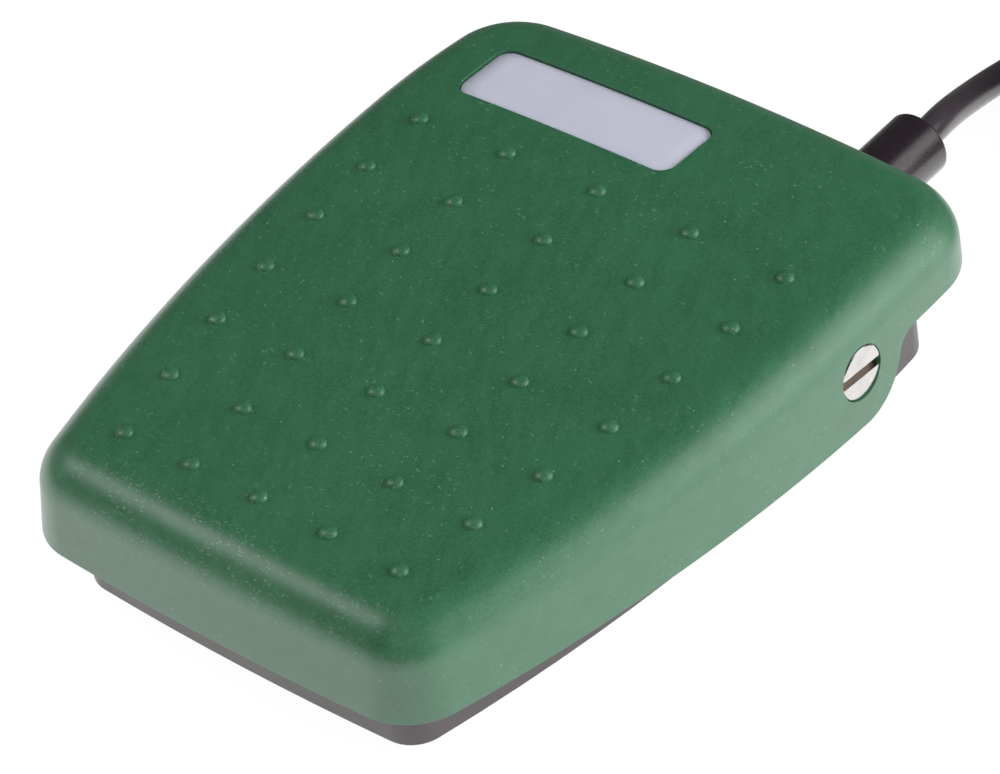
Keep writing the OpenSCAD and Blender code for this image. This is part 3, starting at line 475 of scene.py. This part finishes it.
def rubber_material(name, color, roughness, size=0.5, coat=0.0):
    """Rubber or soft plastic with a slightly uneven surface, and a shine as far as it is coated."""
    s = Shader(name, color, roughness, specular=0.6 + 0.4 * coat)
    s.set("Coat Weight", coat)
    s.set("Coat Roughness", 0.26)
    s.color(s.mix(s.ramp(s.noise(6, 3, 0.6), 0.35, 0.65), color, tuple(c * 1.35 for c in color)))
    s.roughness(s.ramp(s.noise(size, 3, 0.6), 0.35, 0.65, roughness * 0.85, roughness * 1.15))
    s.bump(s.noise(size, 3, 0.6), 0.010)
    return s.mat


def gloss_material(name, color, roughness=0.3):
    """Small smooth moulded plastic."""
    s = Shader(name, color, roughness)
    s.color(s.mix(s.ramp(s.noise(4, 2, 0.5), 0.35, 0.65), color, tuple(c * 0.85 for c in color)))
    s.roughness(s.ramp(s.noise(0.8, 3, 0.6), 0.35, 0.65, roughness * 0.8, roughness * 1.2))
    s.bump(s.noise(0.6, 2, 0.6), 0.004)
    return s.mat


materials = {
    "pedal_plastic": pedal_material(),
    "base_plastic": base_material(),
    "plate_metal": plate_material(),
    "screw_steel": metal_material("screw_steel", (0.88, 0.86, 0.84), 0.24),
    "insert_brass": metal_material("insert_brass", (0.62, 0.45, 0.20), 0.32),
    "spring_steel": metal_material("spring_steel", (0.50, 0.50, 0.52), 0.30),
    "foot_rubber": rubber_material("foot_rubber", (0.022, 0.022, 0.023), 0.7),
    "switch_black": gloss_material("switch_black", (0.018, 0.018, 0.020)),
    "switch_cream": gloss_material("switch_cream", (0.56, 0.52, 0.42)),
    "plunger_red": gloss_material("plunger_red", (0.42, 0.05, 0.035)),
    "terminal_brass": metal_material("terminal_brass", (0.66, 0.52, 0.27), 0.24),
    "boot_plastic": rubber_material("boot_plastic", (0.013, 0.008, 0.012), 0.30, 0.8, 1.0),
    "cable_sheath": rubber_material("cable_sheath", (0.042, 0.033, 0.040), 0.34, 1.2, 1.0),
    "tie_plastic": gloss_material("tie_plastic", (0.018, 0.018, 0.019), 0.4),
    "core_brown_plastic": gloss_material("core_brown_plastic", (0.13, 0.05, 0.028)),
    "core_blue_plastic": gloss_material("core_blue_plastic", (0.03, 0.10, 0.36)),
    "core_black_plastic": gloss_material("core_black_plastic", (0.015, 0.015, 0.016)),
}
copper = metal_material("copper", (0.72, 0.34, 0.18), 0.3)
grimy_steel = metal_material("grimy_steel", (0.34, 0.27, 0.22), 0.5)


def dress(obj, slot):
    """Gives a piece its material."""
    obj.data.materials.clear()
    obj.data.materials.append(materials[slot])


for part in frame["record"]["subparts"]:
    node = frame["nodes"][part["node"]]
    if not node.data.materials:
        node.data.materials.append(None)
    for k in range(len(node.material_slots)):
        node.material_slots[k].material = materials[part["material_slot"]]


# Cable: the run along the floor, then the coil, on the same points as the solid model

ROUTE = [
    (21.2, 97.2, 9), (21.2, 98.2, 9), (20.9, 101.4, 8.85), (20.3, 105.1, 8.25), (19.6, 109, 7.25),
    (19, 112.8, 6.15), (18.5, 116.8, 5), (18.2, 120.5, 4.05), (18.2, 124, 3.35), (18.6, 127.5, 2.97),
    (19.4, 131.3, 2.9), (20.5, 135.3, 2.97), (21.6, 139.2, 3.2), (22.5, 143, 3.5), (22.95, 146.5, 3.74),
    (23, 148.2, 3.8), (23, 150, 3.8)]
COIL_MID = (65, 156)
COIL_R = 42.0
COIL_PITCH = 6.3
COIL_Z = 3.8
LAYER_TURNS = 2.5
LAST_TURNS = 1.6
LEAD = 6.0
TAIL_LEN = 24.0
BARE_LEN = 7.0
CORE_R = 0.9
CORE_OUT = 1.4


def spline(points, steps):
    """A smooth line through the points, in steps between each two."""
    pts = [Vector(p) for p in points]
    pts = [2 * pts[0] - pts[1]] + pts + [2 * pts[-1] - pts[-2]]
    out = []
    for i in range(1, len(pts) - 2):
        a, b, c, d = pts[i - 1:i + 3]
        for k in range(steps):
            t = k / steps
            out.append(0.5 * (2 * b + (c - a) * t + (2 * a - 5 * b + 4 * c - d) * t ** 2
                              + (3 * b - a - 3 * c + d) * t ** 3))
    return out + [pts[-2]]


def coil_point(t):
    """A point of the coil after t degrees: it spirals in and out again, and climbs at each turning back."""
    full = 360 * LAYER_TURNS
    u = t % (2 * full)
    r = COIL_R - COIL_PITCH * min(u, 2 * full - u) / 360
    layer = sum(min(1, max(0, (t - k * full) / 180 + 0.5)) for k in (1, 2, 3))
    a = math.radians(t)
    return Vector((COIL_MID[0] - r * math.cos(a), COIL_MID[1] + r * math.sin(a), COIL_Z + COIL_PITCH * layer))


def cable():
    """The cable's free length as one tube, and its three cores."""
    last = 360 * (3 * LAYER_TURNS + LAST_TURNS)
    step = 7.5
    coil = [coil_point(k * step) for k in range(int(last / step) + 1)]
    end = coil_point(last)
    out = (end - coil_point(last - 2)).normalized()
    path = spline(ROUTE, 4) + coil + [end, end + LEAD * out]
    obj = new_piece("cable_free", *tube(path, CABLE_D / 2, 20), "base", 60)
    dress(obj, "cable_sheath")
    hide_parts("cable_run", "cable_coil")
    for k, core in enumerate(("core_brown", "core_blue", "core_black")):
        stripped_core(core, core + "_plastic", end + LEAD * out, out, 90 + 120 * k)


def stripped_core(node, slot, start, out, bearing):
    """One inner core: insulation, and a bare copper end that is waved like twisted strands."""
    up = Vector((0, 0, 1))
    across = out.cross(up)
    side = CORE_OUT * Vector((math.cos(math.radians(bearing)), math.sin(math.radians(bearing))))
    aim = (out + 0.05 * side.x * across).normalized()
    turn = aim.to_track_quat("Z", "Y").to_matrix().to_4x4()
    place = Matrix.Translation(start + side.x * across + side.y * up) @ turn
    bare = TAIL_LEN - BARE_LEN
    profile = [(0, 0), (CORE_R, 0), (CORE_R, bare - 0.2), (CORE_R - 0.15, bare)]
    wave = [(0.54 + 0.04 * math.cos(z * 5), bare + z) for z in [0.25 * k for k in range(27)]]
    obj = lathe(node + "_end", profile + wave + [(0.3, TAIL_LEN), (0, TAIL_LEN)], place, "base", 20)
    dress(obj, slot)
    obj.data.materials.append(copper)
    for face in obj.data.polygons:
        along = (place.inverted() @ (face.center / MM)).z
        if along > bare - 0.05:
            face.material_index = 1
    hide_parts(node)
    return obj


# Boot


def boot():
    """Strain relief: a sleeve with a slightly rounded mouth, a neck through the wall and a flange inside."""
    place = Matrix.Translation((CABLE_X, BOOT_FROM, CABLE_Z)) @ Matrix.Rotation(math.radians(-90), 4, "X")
    bore = CABLE_D / 2 + 0.03
    neck, flange, inner = 4.3, 5.4, -5.3
    profile = [(bore, inner), (flange, inner), (flange, inner + 2), (neck, inner + 2), (neck, 0.2),
               (BOOT_R - 0.3, 0.2), (BOOT_R, 0.6)]
    profile += [(BOOT_R - 0.02 - (BOOT_R - BOOT_TIP_R) * k / 8, 1 + (BOOT_LEN - 2) * k / 8) for k in range(9)]
    profile += fillet(BOOT_TIP_R - 0.7, BOOT_LEN - 0.7, 0.7, 0, 90, 6)
    profile += fillet(bore + 0.5, BOOT_LEN - 0.5, 0.5, 90, 180, 4)
    obj = ring_lathe("cable_boot_sleeve", profile, place, "base", 72, 50)
    dress(obj, "boot_plastic")
    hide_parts("cable_boot")


boot()
cable()


# Pedal


def arc(c, r, a1, a2, n, last=False):
    """Points on an arc, with angles in radians and its last point left off unless asked for."""
    return [(c[0] + r * math.cos(a1 + (a2 - a1) * i / n), c[1] + r * math.sin(a1 + (a2 - a1) * i / n))
            for i in range(n + (1 if last else 0))]


def meet(c1, r1, c2, r2, sign):
    """One of the two points that are at given distances from two centres."""
    dx, dy = c2[0] - c1[0], c2[1] - c1[1]
    d = math.hypot(dx, dy)
    a = (r1 * r1 - r2 * r2 + d * d) / (2 * d)
    h = math.sqrt(r1 * r1 - a * a)
    return (c1[0] + (a * dx - sign * h * dy) / d, c1[1] + (a * dy + sign * h * dx) / d)


# Middle of the fillet between a pivot lobe and the rear part of the lower edge
FILLET_Z = REAR_EDGE_Z - LOBE_FILLET
FILLET_Y = math.sqrt((LOBE_R + LOBE_FILLET) ** 2 - FILLET_Z ** 2)


def side_levels(low, high):
    """Places along the side at which the outline has a point: close together round the pivot lobe."""
    touch = math.atan2(FILLET_Y, -FILLET_Z)
    levels = [low + (-1 - low) * k / 44 for k in range(1, 44)]
    levels += [LOBE_R * math.sin(touch * k / 22) for k in range(0, 22)]
    levels += [FILLET_Y - LOBE_FILLET * math.sin(touch * (1 - k / 12)) for k in range(0, 12)]
    levels += [FILLET_Y + (high - FILLET_Y) * k / 4 for k in range(0, 4)]
    return levels


def edge_height(y):
    """Height of the lower edge: flat, then round the lobe behind the pivot, and up to the rear skirt."""
    touch_y = FILLET_Y * LOBE_R / (LOBE_R + LOBE_FILLET)
    if y <= 0:
        return -LOBE_R
    if y <= touch_y:
        return -math.sqrt(LOBE_R ** 2 - y ** 2)
    if y < FILLET_Y:
        return FILLET_Z + math.sqrt(max(0, LOBE_FILLET ** 2 - (FILLET_Y - y) ** 2))
    return REAR_EDGE_Z


def pedal_outline(inset):
    """The pedal's outline, drawn in by inset, in its own frame."""
    side = (HALF_W - SIDE_BOW, 0)
    front = (0, PEDAL_FRONT + FRONT_BOW)
    rear = (0, PEDAL_REAR - REAR_BOW)
    k1 = meet(side, SIDE_BOW - FRONT_CORNER, front, FRONT_BOW - FRONT_CORNER, -1)
    k2 = meet(side, SIDE_BOW - REAR_CORNER, rear, REAR_BOW - REAR_CORNER, 1)
    a1 = math.atan2(k1[1] - front[1], k1[0] - front[0])
    a2 = math.atan2(k1[1] - side[1], k1[0] - side[0])
    a3 = math.atan2(k2[1] - side[1], k2[0] - side[0])
    a4 = math.atan2(k2[1] - rear[1], k2[0] - rear[0])
    half = arc(front, FRONT_BOW - inset, -math.pi / 2, a1, 14)
    half += arc(k1, FRONT_CORNER - inset, a1, a2, 16, True)
    for y in side_levels(SIDE_BOW * math.sin(a2), SIDE_BOW * math.sin(a3)):
        a = math.asin(y / SIDE_BOW)
        r = SIDE_BOW - inset
        half.append((side[0] + r * math.cos(a), r * math.sin(a)))
    half += arc(k2, REAR_CORNER - inset, a3, a4, 16)
    half += arc(rear, REAR_BOW - inset, a4, math.pi / 2, 12, True)
    return half + [(-x, y) for x, y in reversed(half[1:-1])]


def top_z(x, y):
    """Height of the top: sloped, crowned across and falling away at the rear."""
    return TOP_UP + y * TOP_SLOPE - x * x / (2 * CROWN) - max(0, y - TAIL_START) ** 2 / (2 * TAIL)


EDGE_STEPS = 12
OUTLINE = pedal_outline(0)
INWARD = [(b[0] - a[0], b[1] - a[1]) for a, b in zip(OUTLINE, pedal_outline(1))]


def drawn_in(insets):
    """The outline's points, each moved in by its own inset. The arcs share centres, so this is exact."""
    return [(x + inset * u, y + inset * v) for (x, y), (u, v), inset in zip(OUTLINE, INWARD, insets)]


def wall_loop(wall, share, raised=0.0, drawn=0.0):
    """A loop of the skirt, share of the way from its lower edge to the start of the rounding."""
    drop = TOP_WALL if wall else 0
    r = EDGE_R - wall
    heights, insets = [], []
    for (_, foot_y), (top_x, top_y) in zip(OUTLINE, drawn_in([wall + LEAN] * len(OUTLINE))):
        low = edge_height(foot_y) + raised
        high = top_z(top_x, top_y) - drop - r
        heights.append(low + (high - low) * share)
        insets.append(wall + drawn + LEAN * (heights[-1] + LOBE_R) / (high + LOBE_R))
    return [(x, y, z) for (x, y), z in zip(drawn_in(insets), heights)]


def edge_loop(wall, phi):
    """A loop of the rounding between skirt and top, phi radians up it."""
    drop = TOP_WALL if wall else 0
    r = EDGE_R - wall
    inset = LEAN + wall + r * (1 - math.cos(phi))
    return [(x, y, top_z(x, y) - drop - r * (1 - math.sin(phi))) for x, y in drawn_in([inset] * len(OUTLINE))]


def inner_loop(drop, k):
    """A loop of the top, or of its underside, drawn in to a share k of the whole."""
    mid = (PEDAL_FRONT + PEDAL_REAR) / 2
    out = []
    for x, y in drawn_in([LEAN + EDGE_R] * len(OUTLINE)):
        x, y = x * k, mid + (y - mid) * k
        out.append((x, y, top_z(x, y) - drop))
    return out


def at_rest(points):
    """Points of the pedal's own frame, placed at rest."""
    a = math.radians(REST_TILT)
    c, s = math.cos(a), math.sin(a)
    return [(x, PIVOT[1] + y * c + z * s, PIVOT[2] - y * s + z * c) for x, y, z in points]


def rounded_rect(w, l, r, per_corner=10):
    """Points round a rectangle with rounded corners, no more than about 3 mm apart."""
    pts = []
    for cx, cy, a in ((w / 2 - r, l / 2 - r, 0), (r - w / 2, l / 2 - r, 90), (r - w / 2, r - l / 2, 180),
                      (w / 2 - r, r - l / 2, 270)):
        pts += fillet(cx, cy, r, a, a + 90, per_corner)
    out = []
    for a, b in zip(pts, pts[1:] + pts[:1]):
        n = max(1, round(math.dist(a, b) / 3))
        out += [(a[0] + (b[0] - a[0]) * k / n, a[1] + (b[1] - a[1]) * k / n) for k in range(n)]
    return out


def plate_loops(w, l, r, low, high, rim=0.0):
    """Loops of a thin plate that follows the pedal's top, between two depths below it."""
    def loop(inset, depth, k=1):
        around = [(PLATE_MID[0] + x * k, PLATE_MID[1] + y * k)
                  for x, y in rounded_rect(w - 2 * inset, l - 2 * inset, r - inset)]
        return at_rest([(x, y, top_z(x, y) - depth) for x, y in around])

    shares = (0.85, 0.6, 0.35, 0.12)
    loops = [loop(rim, low, k) for k in reversed(shares)] + [loop(rim, low)]
    if rim:
        loops += [loop(0, low - rim), loop(0, high + rim)]
    return loops + [loop(rim, high)] + [loop(rim, high, k) for k in shares]


def grip_profile():
    """Half of a grip in section: a full dome, upright at its foot."""
    bearings = [math.radians(a) for a in range(0, 73, 8)]
    dome = [(GRIP_FOOT_R * math.sin(a), GRIP_H * math.cos(a)) for a in bearings]
    return dome + [(GRIP_FOOT_R, -0.02), (GRIP_FOOT_R + 0.1, -0.7), (0, -0.7)]


def grips():
    """All the grips as one mesh of separate closed domes."""
    verts, faces = [], []
    sides = 24
    profile = grip_profile()
    for row in range(GRIP_ROWS):
        y = GRIP_BACK - row * GRIP_PITCH
        half = HALF_W - SIDE_BOW + math.sqrt(SIDE_BOW ** 2 - y * y) - GRIP_MARGIN
        for col in range(GRIP_COLS):
            x = half * (2 * col / (GRIP_COLS - 1) - 1)
            loops = []
            for r, h in profile[1:-1]:
                ring = [(x + r * math.cos(a), y + r * math.sin(a)) for a in turns(sides)]
                loops.append(at_rest([(px, py, top_z(px, py) + h) for px, py in ring]))
            ends = at_rest([(x, y, top_z(x, y) + profile[k][1]) for k in (0, -1)])
            v, f = skin(loops, *ends)
            faces += [tuple(i + len(verts) for i in face) for face in f]
            verts += v
    return new_piece("grips_tool", verts, faces, None)


def rod(name, centre, radius, length, axis):
    """A round cutter."""
    place = Matrix.Translation(centre) @ Vector(axis).to_track_quat("Z", "Y").to_matrix().to_4x4()
    return lathe(name, [(0, 0), (radius, 0), (radius, length), (0, length)], place, None, 96)


def ceiling(x, y):
    """Height of the underside of the pedal's top."""
    return top_z(x, y) - TOP_WALL


def post(x, y, low, high, radius):
    """A round post in the pedal's own frame, placed at rest."""
    tilt = Matrix.Rotation(math.radians(-REST_TILT), 4, "X")
    place = Matrix.Translation(PIVOT) @ tilt @ Matrix.Translation((x, y, 0))
    return lathe("post_tool", [(0, low), (radius, low), (radius, high), (0, high)], place, None, 48)


def rib(x, half_t, rear, front, low, high):
    """An upright rib in the pedal's own frame, with its low and high edges given at its front and rear."""
    pts = []
    for side in (x - half_t, x + half_t):
        pts += [(side, front, low[0]), (side, rear, low[1]), (side, rear, high[1]), (side, front, high[0])]
    faces = [(0, 1, 2, 3), (4, 7, 6, 5), (0, 4, 5, 1), (1, 5, 6, 2), (2, 6, 7, 3), (3, 7, 4, 0)]
    return new_piece("rib_tool", at_rest(pts), faces, None)


def pedal_inside():
    """Ribs, bosses and pads under the pedal's top, as on the solid model, each sunk into it."""
    found = [post(0, ADJUSTER_Y, ADJUSTER_Z + 2.8, ceiling(0, ADJUSTER_Y) + 1, ADJUSTER_BOSS_R),
             post(0, SPRING_Y, SPRING_CUP_Z, SPRING_CUP_Z + 2.5, SPRING_CUP_R),
             post(0, SPRING_Y, SPRING_CUP_Z - 3, SPRING_CUP_Z + 1, SPRING_PIN_R)]
    for side in (-1, 1):
        x = side * RIB_X
        ends = (ceiling(x, RIB_FRONT), ceiling(x, RIB_REAR))
        found.append(rib(x, 0.8, RIB_REAR, RIB_FRONT, [z - 2.2 for z in ends], [z + 0.6 for z in ends]))
        found.append(post(side * BUFFER_X, BUFFER_Y, PAD_Z, PAD_Z + 3, PAD_R))
        top = ceiling(STOP_X, STOP_Y) + 0.8
        found.append(rib(side * STOP_X, 1.0, STOP_Y + 4, STOP_Y - 4, (STOP_Z, STOP_Z), (top, top)))
        boss_from = SCREW_SEAT_X if side > 0 else -SKIRT_INNER_X
        boss_len = SKIRT_INNER_X - SCREW_SEAT_X
        found.append(rod("boss_tool", (boss_from, PIVOT[1], PIVOT[2]), HEAD_R + 2, boss_len, (1, 0, 0)))
    return found


def pedal():
    """The cover: a skin of loops inside and out, with grips, ribs and bosses joined and its openings cut."""
    inner = [inner_loop(TOP_WALL, k) for k in (0.1, 0.3, 0.5, 0.7, 0.85, 1.0)]
    inner += [edge_loop(SKIRT, math.pi / 2 * (1 - k / 8)) for k in range(1, 9)]
    inner += [wall_loop(SKIRT, share) for share in (0.75, 0.5, 0.25)]
    inner += [wall_loop(SKIRT, 0)]
    outer = [wall_loop(0, 0, raised=up, drawn=back)
             for up, back in ((0, 0.45), (0.06, 0.18), (0.2, 0.04), (0.45, 0))]
    outer += [wall_loop(0, share, raised=0.45 * (1 - share)) for share in (0.25, 0.5, 0.75)]
    outer += [edge_loop(0, math.pi / 2 * k / EDGE_STEPS) for k in range(EDGE_STEPS + 1)]
    outer += [inner_loop(0, k) for k in (0.93, 0.86, 0.78, 0.7, 0.61, 0.52, 0.43, 0.34, 0.25, 0.16, 0.07)]
    mid = (PEDAL_FRONT + PEDAL_REAR) / 2
    ends = at_rest([(0, mid, top_z(0, mid) - TOP_WALL), (0, mid, top_z(0, mid))])
    obj = new_piece("pedal_shell", *skin([at_rest(loop) for loop in inner + outer], *ends), "pedal")
    cut(obj, [grips()], "UNION")
    recess_w, recess_l = PLATE_W + 2 * PLATE_GAP, PLATE_L + 2 * PLATE_GAP
    loops = plate_loops(recess_w, recess_l, PLATE_CORNER + PLATE_GAP, RECESS, -3)
    recess = new_piece("recess_tool", *skin(loops, *plate_ends(RECESS, -3)), None)
    holes = [rod("hole_tool", (x, PIVOT[1], PIVOT[2]), HOLE_R, 20, (1, 0, 0)) for x in (-70, 50)]
    holes.append(post(0, ADJUSTER_Y, ADJUSTER_Z - 1, ceiling(0, ADJUSTER_Y) + 0.2, ADJUSTER_HOLE_R))
    cut(obj, pedal_inside(), "UNION")
    cut(obj, [recess] + holes)
    smooth(obj, 32)
    even_shade(obj)
    dress(obj, "pedal_plastic")
    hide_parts("pedal_cover")


def plate_ends(low, high):
    """The middle points that close a plate's loops, at two depths."""
    x, y = PLATE_MID
    return at_rest([(x, y, top_z(x, y) - low), (x, y, top_z(x, y) - high)])


def plate():
    """The bare plate: thin, with a rounded rim, lying in its recess."""
    top = RECESS - PLATE_T
    loops = plate_loops(PLATE_W, PLATE_L, PLATE_CORNER, RECESS - 0.02, top, rim=0.08)
    obj = new_piece("bare_plate", *skin(loops, *plate_ends(RECESS - 0.02, top)), "pedal", 50)
    dress(obj, "plate_metal")
    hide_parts("label_plate")


pedal()
plate()


# Base: the solid model's own shape, with its rounded walls shaded smooth


def smooth_copy(node, slot, angle, body):
    """A copy of a node's mesh with its points welded and its round faces smooth."""
    source = frame["nodes"][node]
    mesh = source.data.copy()
    bm = bmesh.new()
    bm.from_mesh(mesh)
    bmesh.ops.remove_doubles(bm, verts=bm.verts, dist=1e-6)
    bmesh.ops.dissolve_limit(bm, angle_limit=math.radians(0.3), verts=bm.verts, edges=bm.edges)
    bm.to_mesh(mesh)
    bm.free()
    obj = bpy.data.objects.new(node + "_smooth", mesh)
    bpy.context.scene.collection.objects.link(obj)
    if mesh.attributes.get("custom_normal"):
        mesh.attributes.remove(mesh.attributes["custom_normal"])
    smooth(obj, angle)
    even_shade(obj)
    dress(obj, slot)
    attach(obj, body)
    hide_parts(node)
    return obj


smooth_copy("base_moulding", "base_plastic", 25, "base")


# Return spring: as the solid model has it


def spring():
    """The spring: a smooth-shaded copy of the solid model's own, with a mesh of its own."""
    obj = smooth_copy("return_spring", "spring_steel", 65, "base")
    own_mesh(obj)


spring()


# Pivot screws


SLOT_W = 1.9
SLOT_DEEP = 1.3
SLOT_TURN = -6
SHANK_R = 2.5
THREAD_PITCH = 0.8


def pivot_screw(name, side):
    """Slotted screw: a flat head with a broken edge, on which the pedal turns, and rings for a thread."""
    place = Matrix.Translation((0, PIVOT[1], PIVOT[2])) @ Matrix.Rotation(math.radians(90 * side), 4, "Y")
    low, high = 51.2, HALF_W - 0.75
    profile = [(0, high), (HEAD_R - 0.45, high), (HEAD_R - 0.22, high - 0.05), (HEAD_R - 0.06, high - 0.2),
               (HEAD_R, high - 0.42), (HEAD_R, low), (SHANK_R, low)]
    for k in range(10):
        z = low - 0.4 - THREAD_PITCH * k
        profile += [(SHANK_R, z), (SHANK_R - 0.38, z - 0.4)]
    profile += [(SHANK_R - 0.3, low - 8.8), (0, low - 8.9)]
    obj = lathe(name + "_turned", profile, place, "base", 72, 40)
    cut(obj, [slot_cutter(place, high)])
    smooth(obj, 30)
    even_shade(obj)
    dress(obj, "screw_steel")
    obj.data.materials.append(grimy_steel)
    for face in obj.data.polygons:
        local = place.inverted() @ (face.center / MM)
        depth = (high - local.z) / SLOT_DEEP
        in_head = math.hypot(local.x, local.y) < HEAD_R - 0.12
        if 0.15 < depth < 1.05 and in_head:
            face.material_index = 1
    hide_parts(name)


def slot_cutter(place, high):
    """A box cutter for the screwdriver slot, nearly level."""
    w, reach = SLOT_W / 2, 8.0
    turn = Matrix.Rotation(math.radians(SLOT_TURN), 4, "Z")
    pts = []
    for z in (high - SLOT_DEEP, high + 1):
        for x, y in ((-w, -reach), (w, -reach), (w, reach), (-w, reach)):
            pts.append(place @ turn @ Vector((x, y, z)))
    faces = [(0, 3, 2, 1), (4, 5, 6, 7), (0, 1, 5, 4), (1, 2, 6, 5), (2, 3, 7, 6), (3, 0, 4, 7)]
    return new_piece("slot_tool", pts, faces, None)


pivot_screw("pivot_screw_left", -1)
pivot_screw("pivot_screw_right", 1)


# Floor, world and lamps


# What the camera sees of the floor: most of it glow, the rest paper that takes the shadow
SEEN_GLOW = 0.95
SEEN_PAPER = 0.10
PAPER_BOUNCE = 0.8
FLOOR_HALF = 6

# In gloss the floor fades, in metres along y, except beyond these places along x
FADE_FROM, FADE_TO, FADED = 0.085, 0.125, 0.15
KEPT_FROM, KEPT_TO = 0.012, 0.020

WORLD_DIM = 0.05


def floor():
    """A plain white floor with a faint shadow, white in gloss too, though its far left part is dim there."""
    mesh = bpy.data.meshes.new("floor")
    corners = [(-1, -1), (1, -1), (1, 1), (-1, 1)]
    mesh.from_pydata([(x * FLOOR_HALF, y * FLOOR_HALF, 0) for x, y in corners], [], [(0, 1, 2, 3)])
    obj = bpy.data.objects.new("floor", mesh)
    bpy.context.scene.collection.objects.link(obj)
    obj.location.z = -0.0002
    mat = bpy.data.materials.new("floor")
    mat.use_nodes = True
    tree = mat.node_tree
    nodes, links = tree.nodes, tree.links
    nodes.clear()
    out = nodes.new("ShaderNodeOutputMaterial")
    path = nodes.new("ShaderNodeLightPath")
    camera_ray = path.outputs["Is Camera Ray"]
    gloss = math_node(tree, "MAXIMUM", path.outputs["Is Glossy Ray"], path.outputs["Is Transmission Ray"])
    place = nodes.new("ShaderNodeTexCoord")
    apart = nodes.new("ShaderNodeSeparateXYZ")
    links.new(place.outputs["Object"], apart.inputs[0])
    fade = range_node(tree, apart.outputs["Y"], FADE_FROM, FADE_TO, 1, FADED)
    kept = range_node(tree, apart.outputs["X"], KEPT_FROM, KEPT_TO)
    shine = math_node(tree, "MULTIPLY", gloss, math_node(tree, "MAXIMUM", fade, kept))
    glow = math_node(tree, "MULTIPLY", camera_ray, SEEN_GLOW)
    white = nodes.new("ShaderNodeEmission")
    links.new(math_node(tree, "MAXIMUM", shine, glow), white.inputs["Strength"])
    others = math_node(tree, "SUBTRACT", 1, math_node(tree, "MAXIMUM", gloss, camera_ray))
    bounce = math_node(tree, "MULTIPLY", others, PAPER_BOUNCE)
    seen = math_node(tree, "MULTIPLY", camera_ray, SEEN_PAPER)
    paper = nodes.new("ShaderNodeBsdfDiffuse")
    links.new(math_node(tree, "ADD", bounce, seen), paper.inputs["Color"])
    both = nodes.new("ShaderNodeAddShader")
    links.new(white.outputs[0], both.inputs[0])
    links.new(paper.outputs[0], both.inputs[1])
    links.new(both.outputs[0], out.inputs["Surface"])
    mesh.materials.append(mat)


def world():
    """The surround: white to the camera alone, and dim to all else."""
    scene = bpy.context.scene
    scene.world = bpy.data.worlds.new("world")
    scene.world.use_nodes = True
    tree = scene.world.node_tree
    back = tree.nodes["Background"]
    path = tree.nodes.new("ShaderNodeLightPath")
    back.inputs["Color"].default_value = (1, 1, 1, 1)
    level = range_node(tree, path.outputs["Is Camera Ray"], 0, 1, WORLD_DIM, 1)
    tree.links.new(level, back.inputs["Strength"])


def lamp(name, toward, distance, size, power, gloss=True):
    """A soft lamp in a direction from the object, aimed at it. Without gloss it shows in no reflection."""
    data = bpy.data.lights.new(name, "AREA")
    data.shape = "RECTANGLE"
    data.size, data.size_y = size
    data.energy = power * math.pi * size[0] * size[1]
    obj = bpy.data.objects.new(name, data)
    obj.visible_glossy = gloss
    way = Vector(toward).normalized()
    obj.location = way * distance
    obj.rotation_euler = way.to_track_quat("Z", "Y").to_euler()
    bpy.context.scene.collection.objects.link(obj)


floor()
world()
lamp("lamp_front_left", (-0.54, -0.31, 0.78), 1.2, (0.5, 0.5), 2.4)
lamp("lamp_right_low", (0.82, 0.55, 0.12), 1.3, (1.0, 0.5), 1.6)
lamp("lamp_right_mid", (0.66, 0.50, 0.50), 1.3, (1.0, 0.6), 1.0)
lamp("fill_back", (0.10, 0.95, 0.28), 1.3, (1.0, 0.5), 1.5, gloss=False)
lamp("fill_right", (0.80, 0.48, 0.36), 1.3, (1.0, 0.9), 6.5, gloss=False)
lamp("fill_over", (0.05, -0.25, 1.0), 1.4, (0.8, 0.8), 1.5, gloss=False)
lamp("fill_near", (0.50, -0.56, 0.66), 1.4, (0.8, 0.8), 3.0, gloss=False)
lamp("fill_left", (-0.93, -0.05, 0.36), 1.3, (0.8, 0.6), 4.0, gloss=False)
lamp("fill_left_low", (-0.60, -0.78, 0.15), 1.3, (0.8, 0.4), 3.5, gloss=False)

bpy.context.scene.view_settings.view_transform = "Standard"

bpy.context.view_layer.update()
